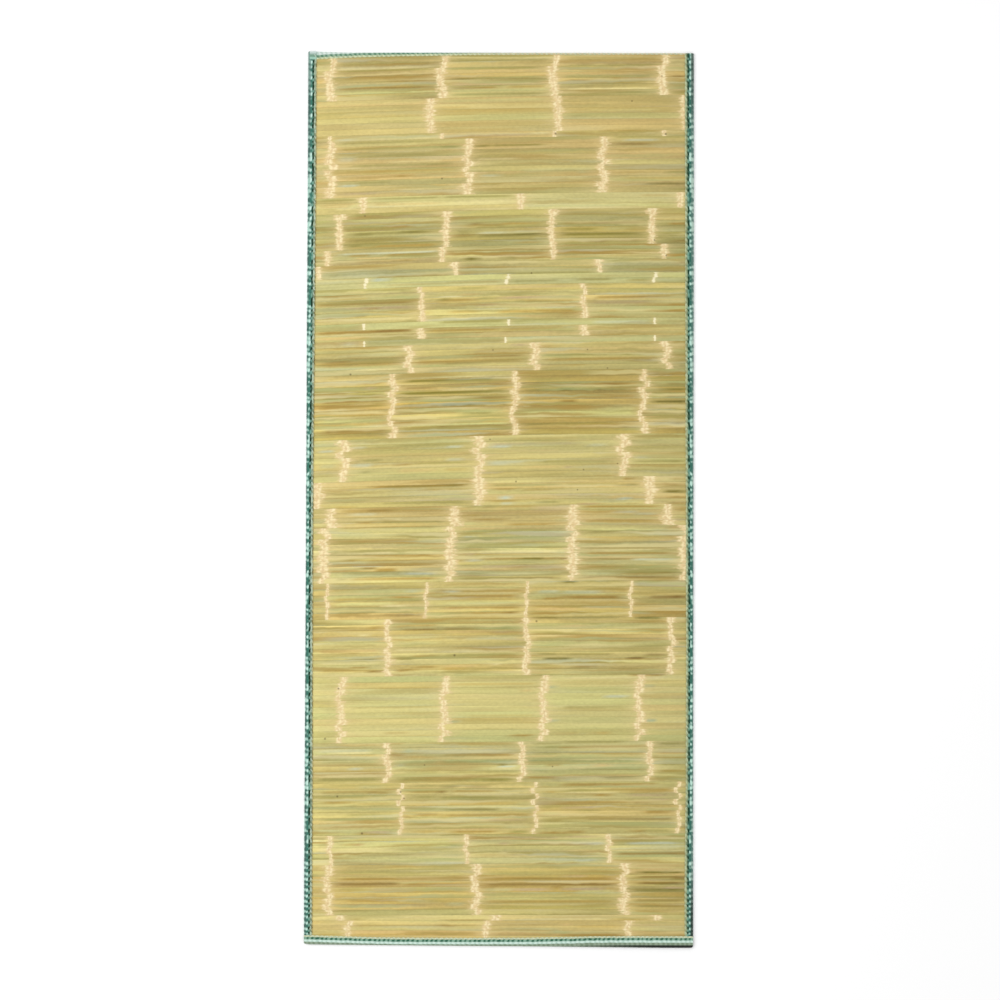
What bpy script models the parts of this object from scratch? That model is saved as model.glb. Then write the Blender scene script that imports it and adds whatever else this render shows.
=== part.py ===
"""Bamboo mat: a sheet of split bamboo slats with a woven tape folded over each of its four edges.

Metres, +Z up. The slats run along X, the mat's length is along Y with its top end at +Y, and Z = 0
is the underside of the tape, which the mat lies on. The tables below are in millimetres.
"""

import math
from typing import NamedTuple

import bmesh
import bpy

MM = 0.001

# Heights in the stack, in millimetres. The tape wraps the slat sheet with a small clearance.
TAPE_THICKNESS = 1.0
CLEARANCE = 0.3
SLAT_THICKNESS = 2.2
GROOVE_DEPTH = 0.7
FIELD_UNDERSIDE = TAPE_THICKNESS + CLEARANCE
CREST_HEIGHT = FIELD_UNDERSIDE + SLAT_THICKNESS
GROOVE_HEIGHT = CREST_HEIGHT - GROOVE_DEPTH
MAT_HEIGHT = CREST_HEIGHT + CLEARANCE + TAPE_THICKNESS

# The fold of the tape round the edge of the sheet.
FOLD_RADIUS = 1.5
FOLD_STEPS = 3

# The slat sheet is cut into equal steps across the mat, so that its slats can bow.
FIELD_STEPS = 5
HIDDEN_SLATS = 2

# The slats droop towards the left: nothing at the first of these places, the full bow at the second.
BOW_STARTS_X = 387.0
BOW_FULL_X = -378.4


class Colour(NamedTuple):
    """Linear colour, roughness and metallic value of one material."""

    red: float
    green: float
    blue: float
    roughness: float
    metallic: float


class Point(NamedTuple):
    """A corner of the slat sheet."""

    x: float
    y: float


class Band(NamedTuple):
    """Slats cut from one length of cane: where the first begins at the right, how many, their bow."""

    upper_edge: float
    slats: int
    bow: float


class EdgeRow(NamedTuple):
    """A station of a tape: its place along the edge, and the two edges of the tape that show."""

    along: float
    inner: float
    outer: float


class ProfilePoint(NamedTuple):
    """A point of one slat's arched back: share of its width, share of the groove's depth."""

    across: float
    rise: float


BAMBOO = Colour(0.571, 0.485, 0.198, 0.45, 0.0)
TAPE = Colour(0.275, 0.497, 0.376, 0.85, 0.0)

FIELD_TOP_LEFT = Point(-392.7, 923.3)
FIELD_TOP_RIGHT = Point(401.3, 921.7)
FIELD_BOTTOM_RIGHT = Point(399.9, -923.9)
FIELD_BOTTOM_LEFT = Point(-401.5, -916.6)

SLAT_BACK = (
    ProfilePoint(across=0.15, rise=0.72),
    ProfilePoint(across=0.50, rise=1.00),
    ProfilePoint(across=0.85, rise=0.72),
)

BANDS = (
    Band(upper_edge=924.1, slats=7, bow=13.4),
    Band(upper_edge=837.2, slats=6, bow=14.5),
    Band(upper_edge=764.8, slats=1, bow=14.0),
    Band(upper_edge=752.4, slats=10, bow=14.0),
    Band(upper_edge=636.5, slats=3, bow=14.4),
    Band(upper_edge=603.4, slats=6, bow=14.8),
    Band(upper_edge=530.0, slats=3, bow=16.6),
    Band(upper_edge=498.9, slats=2, bow=17.2),
    Band(upper_edge=471.0, slats=2, bow=17.2),
    Band(upper_edge=449.3, slats=6, bow=17.2),
    Band(upper_edge=376.9, slats=1, bow=16.8),
    Band(upper_edge=363.4, slats=2, bow=16.6),
    Band(upper_edge=340.7, slats=1, bow=16.2),
    Band(upper_edge=328.2, slats=5, bow=16.1),
    Band(upper_edge=270.3, slats=11, bow=16.1),
    Band(upper_edge=136.9, slats=7, bow=16.1),
    Band(upper_edge=48.9, slats=5, bow=14.5),
    Band(upper_edge=-9.0, slats=4, bow=10.3),
    Band(upper_edge=-52.4, slats=10, bow=7.2),
    Band(upper_edge=-167.3, slats=6, bow=7.0),
    Band(upper_edge=-242.8, slats=10, bow=6.8),
    Band(upper_edge=-361.8, slats=11, bow=6.3),
    Band(upper_edge=-499.3, slats=7, bow=5.6),
    Band(upper_edge=-583.1, slats=9, bow=5.5),
    Band(upper_edge=-690.7, slats=5, bow=5.4),
    Band(upper_edge=-751.8, slats=9, bow=5.4),
    Band(upper_edge=-859.3, slats=1, bow=1.0),
    Band(upper_edge=-870.7, slats=3, bow=0.5),
)
LAST_SEEN_EDGE = Band(upper_edge=-902.8, slats=0, bow=-2.1)

# Side tapes: along is Y, inner and outer are X. End tapes: along is X, inner and outer are Y.
LEFT_TAPE = (
    EdgeRow(along=927.3, inner=-376.8, outer=-392.9),
    EdgeRow(along=925.6, inner=-376.8, outer=-394.2),
    EdgeRow(along=661.4, inner=-378.0, outer=-395.4),
    EdgeRow(along=330.3, inner=-380.9, outer=-397.5),
    EdgeRow(along=82.0, inner=-383.3, outer=-398.5),
    EdgeRow(along=-249.0, inner=-385.0, outer=-400.1),
    EdgeRow(along=-580.0, inner=-385.2, outer=-402.0),
    EdgeRow(along=-745.5, inner=-385.8, outer=-403.0),
    EdgeRow(along=-901.3, inner=-386.3, outer=-403.3),
)
RIGHT_TAPE = (
    EdgeRow(along=923.4, inner=384.6, outer=401.9),
    EdgeRow(along=921.8, inner=384.6, outer=403.1),
    EdgeRow(along=661.4, inner=385.0, outer=403.3),
    EdgeRow(along=330.3, inner=385.8, outer=402.9),
    EdgeRow(along=82.0, inner=386.4, outer=402.5),
    EdgeRow(along=-249.0, inner=387.1, outer=402.2),
    EdgeRow(along=-580.0, inner=386.6, outer=401.9),
    EdgeRow(along=-745.5, inner=384.6, outer=401.8),
    EdgeRow(along=-904.4, inner=384.0, outer=401.7),
)
TOP_TAPE = (
    EdgeRow(along=-376.5, inner=911.0, outer=926.9),
    EdgeRow(along=-349.0, inner=914.2, outer=926.0),
    EdgeRow(along=-318.0, inner=915.4, outer=925.0),
    EdgeRow(along=-287.0, inner=916.7, outer=924.9),
    EdgeRow(along=-245.0, inner=917.5, outer=924.8),
    EdgeRow(along=-204.0, inner=918.7, outer=924.8),
    EdgeRow(along=-121.0, inner=920.2, outer=924.7),
    EdgeRow(along=-59.0, inner=921.2, outer=924.6),
    EdgeRow(along=127.0, inner=921.2, outer=924.2),
    EdgeRow(along=384.3, inner=920.5, outer=923.5),
)
BOTTOM_TAPE = (
    EdgeRow(along=-403.3, inner=-901.6, outer=-916.0),
    EdgeRow(along=-402.4, inner=-901.6, outer=-918.4),
    EdgeRow(along=-399.3, inner=-901.7, outer=-919.8),
    EdgeRow(along=-283.0, inner=-902.3, outer=-921.2),
    EdgeRow(along=-180.0, inner=-903.9, outer=-922.1),
    EdgeRow(along=-76.0, inner=-904.5, outer=-923.1),
    EdgeRow(along=27.0, inner=-904.5, outer=-923.9),
    EdgeRow(along=131.0, inner=-904.4, outer=-924.8),
    EdgeRow(along=234.0, inner=-904.4, outer=-926.0),
    EdgeRow(along=337.0, inner=-904.6, outer=-927.2),
    EdgeRow(along=397.6, inner=-904.8, outer=-927.3),
    EdgeRow(along=400.7, inner=-904.8, outer=-925.9),
    EdgeRow(along=401.7, inner=-904.8, outer=-923.0),
)


def clear_scene():
    """Removes every object that the file opened with."""
    for obj in list(bpy.data.objects):
        bpy.data.objects.remove(obj, do_unlink=True)


def mix(first, second, share):
    """The value that lies this share of the way from the first to the second."""
    return first + (second - first) * share


def principled(name, colour):
    """A material with one Principled BSDF of this colour and finish."""
    material = bpy.data.materials.new(name)
    material.use_nodes = True
    shader = material.node_tree.nodes["Principled BSDF"]
    shader.inputs["Base Color"].default_value = (colour.red, colour.green, colour.blue, 1.0)
    shader.inputs["Roughness"].default_value = colour.roughness
    shader.inputs["Metallic"].default_value = colour.metallic
    return material


def add_object(name, shape, colour, collection, parent):
    """Makes an object of a finished bmesh, with its own material, and frees the bmesh."""
    mesh = bpy.data.meshes.new(name)
    shape.to_mesh(mesh)
    shape.free()
    mesh.materials.append(principled(name, colour))
    obj = bpy.data.objects.new(name, mesh)
    obj.parent = parent
    collection.objects.link(obj)
    return obj


def bowed(right_y, bow, x):
    """The height on the mat, at x, of a line that starts at right_y and droops to the left."""
    reach = (BOW_STARTS_X - x) / (BOW_STARTS_X - BOW_FULL_X)
    return right_y - bow * reach**2


def field_x(share, y):
    """X of a point of the slat sheet at this Y, this share of the way from its left end."""
    down = (FIELD_TOP_LEFT.y - y) / (FIELD_TOP_LEFT.y - FIELD_BOTTOM_LEFT.y)
    left = mix(FIELD_TOP_LEFT.x, FIELD_BOTTOM_LEFT.x, down)
    down = (FIELD_TOP_RIGHT.y - y) / (FIELD_TOP_RIGHT.y - FIELD_BOTTOM_RIGHT.y)
    right = mix(FIELD_TOP_RIGHT.x, FIELD_BOTTOM_RIGHT.x, down)
    return mix(left, right, share)


def groove_heights(share):
    """Y of every line between two slats, from the top edge down, at one station across the sheet."""
    lines = [mix(FIELD_TOP_LEFT.y, FIELD_TOP_RIGHT.y, share)]
    for band, following in zip(BANDS, BANDS[1:] + (LAST_SEEN_EDGE,)):
        for slat in range(band.slats):
            passed = (slat + 1) / band.slats
            right_y = mix(band.upper_edge, following.upper_edge, passed)
            bow = mix(band.bow, following.bow, passed)
            lines.append(bowed(right_y, bow, field_x(share, right_y)))
    lowest_seen = lines[-1]
    bottom = mix(FIELD_BOTTOM_LEFT.y, FIELD_BOTTOM_RIGHT.y, share)
    for slat in range(HIDDEN_SLATS):
        lines.append(mix(lowest_seen, bottom, (slat + 1) / HIDDEN_SLATS))
    return lines


def field_section(share):
    """The closed section of the slat sheet at one station: ribbed above, flat below."""
    lines = groove_heights(share)
    profile = []
    for upper, lower in zip(lines, lines[1:]):
        profile.append((upper, GROOVE_HEIGHT))
        for point in SLAT_BACK:
            y = mix(upper, lower, point.across)
            profile.append((y, GROOVE_HEIGHT + GROOVE_DEPTH * point.rise))
    profile.append((lines[-1], GROOVE_HEIGHT))
    profile.append((lines[-1], FIELD_UNDERSIDE))
    profile.append((lines[0], FIELD_UNDERSIDE))
    return [(field_x(share, y) * MM, y * MM, z * MM) for y, z in profile]


def bridge(shape, rows, closed):
    """Quads between each row of vertices and the next one. A closed row also joins its ends."""
    for row, following in zip(rows, rows[1:]):
        sides = len(row) if closed else len(row) - 1
        for side in range(sides):
            after = (side + 1) % len(row)
            shape.faces.new((row[side], following[side], following[after], row[after]))


def slat_field(collection, parent):
    """The sheet of slats, lofted through its sections from the left end to the right end."""
    shape = bmesh.new()
    rows = []
    for step in range(FIELD_STEPS + 1):
        section = field_section(step / FIELD_STEPS)
        rows.append([shape.verts.new(place) for place in section])
    bridge(shape, rows, closed=True)
    shape.faces.new(rows[0])
    shape.faces.new(rows[-1])
    bmesh.ops.recalc_face_normals(shape, faces=shape.faces)
    return add_object("slat_field", shape, BAMBOO, collection, parent)


def fold_section(width):
    """A tape folded round the sheet's edge: (inset from the outer edge, height) from top to underside."""
    section = [(width, MAT_HEIGHT)]
    for step in range(FOLD_STEPS + 1):
        turn = 0.5 * math.pi * step / FOLD_STEPS
        inset = FOLD_RADIUS * (1 - math.sin(turn))
        section.append((inset, MAT_HEIGHT - FOLD_RADIUS * (1 - math.cos(turn))))
    section += [(inset, MAT_HEIGHT - height) for inset, height in reversed(section)]
    return section


def tape(name, rows, along_y, collection, parent):
    """A strip of tape, folded over one edge of the mat and following its table of stations."""
    shape = bmesh.new()
    chains = []
    for row in rows:
        inward = math.copysign(1.0, row.inner - row.outer)
        chain = []
        for inset, height in fold_section(abs(row.inner - row.outer)):
            across = row.outer + inward * inset
            x, y = (across, row.along) if along_y else (row.along, across)
            chain.append(shape.verts.new((x * MM, y * MM, height * MM)))
        chains.append(chain)
    bridge(shape, chains, closed=False)
    shape.faces.ensure_lookup_table()
    shape.normal_update()
    if shape.faces[0].normal.z < 0:
        bmesh.ops.reverse_faces(shape, faces=shape.faces)
    strip = add_object(name, shape, TAPE, collection, parent)
    wall = strip.modifiers.new("tape thickness", "SOLIDIFY")
    wall.thickness = TAPE_THICKNESS * MM
    wall.offset = -1.0
    wall.use_even_offset = True
    return strip


def main():
    """Builds the slat sheet and its four tapes under one empty."""
    clear_scene()
    collection = bpy.data.collections.new("bamboo_mat")
    bpy.context.scene.collection.children.link(collection)
    mat = bpy.data.objects.new("mat", None)
    collection.objects.link(mat)
    slat_field(collection, mat)
    tape("binding_left", LEFT_TAPE, True, collection, mat)
    tape("binding_right", RIGHT_TAPE, True, collection, mat)
    tape("binding_top", TOP_TAPE, False, collection, mat)
    tape("binding_bottom", BOTTOM_TAPE, False, collection, mat)


main()
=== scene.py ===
"""The bamboo mat, dressed: split bamboo slats with a woven green tape folded over each edge.

Metres, +Z up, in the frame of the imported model: the slats run along X, the mat's top end is at +Y, and
Z = 0 is the surface that it lies on. The tables are in millimetres in that frame, and the marks on the
cane are given by where the photograph shows them, in its pixels.
"""

import logging
import math
from collections.abc import Callable, Sequence
from dataclasses import dataclass, field
from enum import Enum
from typing import NamedTuple

import bmesh
import bpy
import numpy as np
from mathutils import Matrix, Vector


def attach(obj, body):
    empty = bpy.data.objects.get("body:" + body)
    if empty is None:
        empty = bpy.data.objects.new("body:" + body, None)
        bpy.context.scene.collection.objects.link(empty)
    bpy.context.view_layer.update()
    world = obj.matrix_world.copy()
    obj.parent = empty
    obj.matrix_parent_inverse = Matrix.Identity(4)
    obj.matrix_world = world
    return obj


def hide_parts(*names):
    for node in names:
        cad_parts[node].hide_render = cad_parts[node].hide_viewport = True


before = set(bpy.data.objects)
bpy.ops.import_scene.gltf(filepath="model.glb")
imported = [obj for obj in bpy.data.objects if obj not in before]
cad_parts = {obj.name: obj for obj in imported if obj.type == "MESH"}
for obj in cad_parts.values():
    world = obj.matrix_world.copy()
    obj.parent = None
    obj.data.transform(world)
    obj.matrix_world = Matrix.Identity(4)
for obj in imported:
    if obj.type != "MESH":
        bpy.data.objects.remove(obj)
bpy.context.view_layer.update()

log = logging.getLogger("bamboo mat")

MM = 0.001
Colour = tuple[float, float, float, float]
Socket = bpy.types.NodeSocket
Value = Socket | float
Part = bmesh.types.BMVert | bmesh.types.BMEdge | bmesh.types.BMFace

# The photograph's scale in millimetres a pixel, its width, and the pixel that the mat's origin falls on.
PIXEL = 2.069
PHOTO_WIDTH = 1000.0
ORIGIN_ACROSS = 498.9
ORIGIN_DOWN = 499.65

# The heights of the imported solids, in millimetres.
SLAT_UNDERSIDE = 1.3
SLAT_CREST = 3.5
TAPE_THICKNESS = 1.0
MAT_HEIGHT = 4.8

# The slats droop towards the left: nothing at the first of these places, the full bow at the second.
BOW_STARTS_X = 387.0
BOW_FULL_X = -378.4

# How brightly the studio lights a white card that lies at the mat's middle, and the gloss that it adds.
STUDIO_LEVEL = 1.12
GLOSS = 0.03

# The least light that a surface is taken to send back, before the studio's level is taken out.
DARKEST = 0.002


def painted(code: str) -> Colour:
    """Turns a colour as it looks in the studio into the linear one that a surface is painted with.

    The screen's curve is undone by its usual formula, and then the studio's gloss and light are taken out.

    Args:
        code: the colour as a hash sign and six hexadecimal digits.

    Returns:
        Red, green, blue and full opacity.
    """
    shares = [int(code[place : place + 2], 16) / 255 for place in (1, 3, 5)]
    bright = [s / 12.92 if s <= 0.04045 else ((s + 0.055) / 1.055) ** 2.4 for s in shares]
    red, green, blue = (max(value - GLOSS, DARKEST) / STUDIO_LEVEL for value in bright)
    return red, green, blue, 1.0


def mix(first: float, second: float, share: float) -> float:
    """The value that lies this share of the way from the first to the second."""
    return first + (second - first) * share


def photo_x(across: float) -> float:
    """X, in millimetres, at this many pixels from the photograph's left side."""
    return (across - ORIGIN_ACROSS) * PIXEL


def photo_y(down: float) -> float:
    """Y, in millimetres, at this many pixels from the photograph's top."""
    return (ORIGIN_DOWN - down) * PIXEL


def eased(value: np.ndarray, low: float, high: float) -> np.ndarray:
    """A soft step.

    Args:
        value: where it is taken.
        low: where it begins to rise from 0.
        high: where it reaches 1.

    Returns:
        The step's height at each value.
    """
    share = np.clip((value - low) / (high - low), 0.0, 1.0)
    return share * share * (3.0 - 2.0 * share)


class Cane(Enum):
    """The colours of split cane, by the names that a mat maker would sort them into."""

    STRAW = "#CABB77"
    PALE_STRAW = "#D6C985"
    CREAM = "#E0D296"
    LIGHT_GREEN = "#CCC884"
    GREY_GREEN = "#BEBB85"
    BLUE_GREEN = "#C6CEB2"
    KHAKI = "#BDAF70"
    OLIVE = "#A39A59"
    DARK_OLIVE = "#7F7532"
    TAN = "#D2B677"
    GOLD = "#C1A65D"
    BROWN = "#AA8C48"
    DARK_BROWN = "#86692B"
    GREEN = "#ABB074"
    TEAL = "#A6B48F"
    MAUVE = "#C0A87F"


class Corner(NamedTuple):
    """A corner of the slat sheet, in millimetres."""

    x: float
    y: float


class Band(NamedTuple):
    """Slats split from one length of cane, so that their nodes lie nearly over each other.

    The upper edge is taken at the right of the mat, and droops by the bow at its left. The nodes are
    given by their X, and the drift is how far each slat's own stand to the right of them, in the
    photograph's pixels. Lined and pale say how strong the cane's streaks are, and how white its nodes.
    """

    upper_edge: float
    slats: int
    bow: float
    nodes: tuple[float, ...]
    tint: Cane
    other: Cane
    lined: float
    pale: float
    half_node: float
    drift: tuple[float, ...] = (0.0,) * 12


class Mark(NamedTuple):
    """A line or stain along the cane, from the photograph.

    Its two ends and its height are in the photograph's pixels, its width is in millimetres, and its
    strength in tenths.
    """

    start: float
    end: float
    height: float
    width: float = 4.0
    strength: float = 6.0


class Pin(NamedTuple):
    """A dark pin-prick in the cane, at a pixel of the photograph, and its radius in millimetres."""

    across: float
    down: float
    radius: float


class EdgeRow(NamedTuple):
    """A station of a tape: its place along the edge, and the two edges of the tape that show."""

    along: float
    inner: float
    outer: float


TOP_LEFT = Corner(-392.7, 923.3)
TOP_RIGHT = Corner(401.7, 922.0)
BOTTOM_RIGHT = Corner(400.2, -924.2)
BOTTOM_LEFT = Corner(-401.9, -916.9)

BANDS = (
    Band(
        924.1, 7, 13.4, (-347.9, -117.2, 114.5, 340.0), Cane.KHAKI, Cane.TAN, 1.1, 0.5, 4.9,
        (3.0, 2.0, -2.0, -2.0, -1.0, -0.5, 0.5),
    ),
    Band(
        837.2, 6, 14.5, (-142.0, 121.8, 384.5), Cane.STRAW, Cane.TAN, 0.42, 0.4, 5.5,
        (0.5, -0.5, 0.5, -0.5, 0.5, 1.0),
    ),
    Band(764.8, 1, 14.0, (-350.5, -116.5, 113.7, 342.1), Cane.STRAW, Cane.TAN, 1.0, 0.6, 3.8),
    Band(
        752.4, 10, 14.0, (-348.9, -64.7, 214.9), Cane.KHAKI, Cane.TAN, 0.75, 0.6, 5.7,
        (2.0, 2.0, 0.0, -2.0, 2.5, -2.0, 2.0, 2.5, -1.5, -0.5),
    ),
    Band(636.5, 3, 14.4, (-280.7, 45.0, 375.2), Cane.PALE_STRAW, Cane.CREAM, 0.5, 0.5, 4.4),
    Band(
        603.4, 6, 14.8, (-329.7, -108.9, 108.9, 316.9), Cane.OLIVE, Cane.KHAKI, 0.95, 0.5, 5.4,
        (0.8, 0.0, -0.5, -0.7, 0.3, 0.3),
    ),
    Band(530.0, 3, 16.6, (-355.1, -117.2, 111.4, 342.1), Cane.KHAKI, Cane.GREY_GREEN, 1.5, 0.6, 4.6),
    Band(
        498.9, 2, 17.2, (-373.8, -91.6, 208.2), Cane.GREY_GREEN, Cane.KHAKI, 1.1, 0.6, 4.6,
        (-1.0, 1.0),
    ),
    Band(
        471.0, 2, 17.2, (-275.9, 16.7, 322.2), Cane.LIGHT_GREEN, Cane.GREY_GREEN, 0.7, 1.0, 1.7,
        (1.2, -1.2),
    ),
    Band(
        449.3, 6, 17.2, (-160.7, 177.2), Cane.STRAW, Cane.LIGHT_GREEN, 1.25, 0.6, 3.7,
        (-0.8, 0.9, -1.0, -0.8, 0.3, 0.4),
    ),
    Band(376.9, 1, 16.8, (-280.0, 21.0, 323.3), Cane.GREY_GREEN, Cane.LIGHT_GREEN, 0.85, 1.0, 1.7),
    Band(
        363.4, 2, 16.6, (-160.7, 177.6), Cane.STRAW, Cane.TAN, 1.1, 0.6, 5.0,
        (-0.5, 0.5),
    ),
    Band(340.7, 1, 16.2, (-278.0, 13.6, 322.2), Cane.GREY_GREEN, Cane.LIGHT_GREEN, 0.75, 1.0, 1.7),
    Band(
        328.2, 5, 16.1, (-186.5, 75.2, 347.5), Cane.KHAKI, Cane.STRAW, 1.1, 0.6, 5.0,
        (-1.7, 1.7, 0.0, -1.7, 2.0),
    ),
    Band(
        270.3, 11, 16.1, (-219.6, 33.8, 300.1), Cane.GOLD, Cane.OLIVE, 1.42, 0.6, 4.3,
        (0.0, -0.3, 3.0, -2.5, 1.0, 0.0, -1.5, -4.0, -2.8, 1.5, 0.3),
    ),
    Band(
        136.9, 7, 16.1, (-322.1, -40.2, 257.9), Cane.STRAW, Cane.LIGHT_GREEN, 0.75, 0.5, 6.3,
        (-0.5, 1.8, -4.3, 2.2, 2.2, -0.5, -1.3),
    ),
    Band(
        48.9, 5, 14.5, (-377.3, -40.2, 312.7), Cane.STRAW, Cane.TAN, 0.88, 0.5, 7.0,
        (-0.5, -0.8, 0.8, 0.0, -1.2),
    ),
    Band(
        -9.0, 4, 10.3, (-346.9, -91.3, 153.8, 349.3), Cane.KHAKI, Cane.TAN, 0.9, 0.5, 6.2,
        (0.5, -0.5, -1.5, 1.7),
    ),
    Band(
        -52.4, 10, 7.2, (-362.4, -100.7, 151.8, 383.5), Cane.STRAW, Cane.GREY_GREEN, 1.35, 0.6, 6.2,
        (-1.0, 3.5, -1.0, 0.0, 0.0, 0.0, 0.5, -1.0, 2.0, -1.5),
    ),
    Band(
        -167.3, 6, 7.0, (-355.8, -151.3, 57.8, 273.8), Cane.STRAW, Cane.GOLD, 1.1, 0.5, 2.1,
        (1.0, 0.3, -1.2, 0.5, -0.5, -0.8),
    ),
    Band(
        -242.8, 10, 6.8, (-229.4, 57.2, 357.0), Cane.PALE_STRAW, Cane.GOLD, 1.2, 0.5, 4.2,
        (0.0, -1.0, -0.5, 0.0, 2.5, -1.0, 0.0, 0.0, -1.5, -0.5),
    ),
    Band(
        -361.8, 11, 6.3, (-326.2, -113.1, 92.8, 290.4), Cane.PALE_STRAW, Cane.LIGHT_GREEN, 0.45, 0.5, 4.8,
        (2.5, 0.8, 0.3, -2.5, -0.8, -1.0, 0.7, 1.2, -3.0, 1.8, -2.8),
    ),
    Band(
        -499.3, 7, 5.6, (-233.1, 45.6, 310.0), Cane.STRAW, Cane.GREY_GREEN, 0.95, 0.5, 4.3,
        (0.5, 2.0, -0.5, 1.5, 2.8, 2.2, -1.5),
    ),
    Band(
        -583.1, 9, 5.5, (-202.0, 75.6, 371.9), Cane.STRAW, Cane.KHAKI, 1.05, 0.5, 2.8,
        (1.0, -3.2, 1.5, -3.0, 1.5, -0.6, 0.5, 0.8, -1.5),
    ),
    Band(
        -690.7, 5, 5.4, (-348.9, -65.5, 228.3), Cane.PALE_STRAW, Cane.LIGHT_GREEN, 1.3, 0.5, 3.4,
        (-0.5, -0.2, -2.0, 0.3, 0.3),
    ),
    Band(
        -751.8, 9, 5.4, (-355.1, -48.5, 257.3), Cane.GOLD, Cane.STRAW, 0.92, 0.5, 5.4,
        (1.5, 2.5, -2.0, 0.5, -1.2, 3.0, 0.3, -1.0, 1.5),
    ),
    Band(-859.3, 1, 1.0, (-329.7, -7.6, 327.6), Cane.PALE_STRAW, Cane.TAN, 0.9, 0.5, 5.0),
    Band(
        -870.7, 3, 0.5, (-311.7, -26.6, 267.6), Cane.STRAW, Cane.TAN, 0.7, 0.5, 3.6,
        (1.3, -1.0, -0.8),
    ),
)

# The lower edge of the last slat that shows, and the slats below it, inside the bottom fold.
LAST_SEEN_EDGE = -902.8
LAST_SEEN_BOW = -2.1
HIDDEN_SLATS = 2

# The colours that single lengths of cane stray towards.
STRAYS = (Cane.PALE_STRAW, Cane.TAN, Cane.GREEN, Cane.LIGHT_GREEN, Cane.OLIVE, Cane.GREY_GREEN, Cane.GOLD)
# Painted light along X: the cane's colour is scaled brighter at the left, where the lamp is, and darker to
# the right.
PAINTED_LIGHT_ALONG_X = (
    (-386.0, 1.20),
    (-352.0, 1.10),
    (-250.0, 1.06),
    (80.0, 1.02),
    (230.0, 0.99),
    (350.0, 0.93),
    (388.0, 0.90),
)

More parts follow.
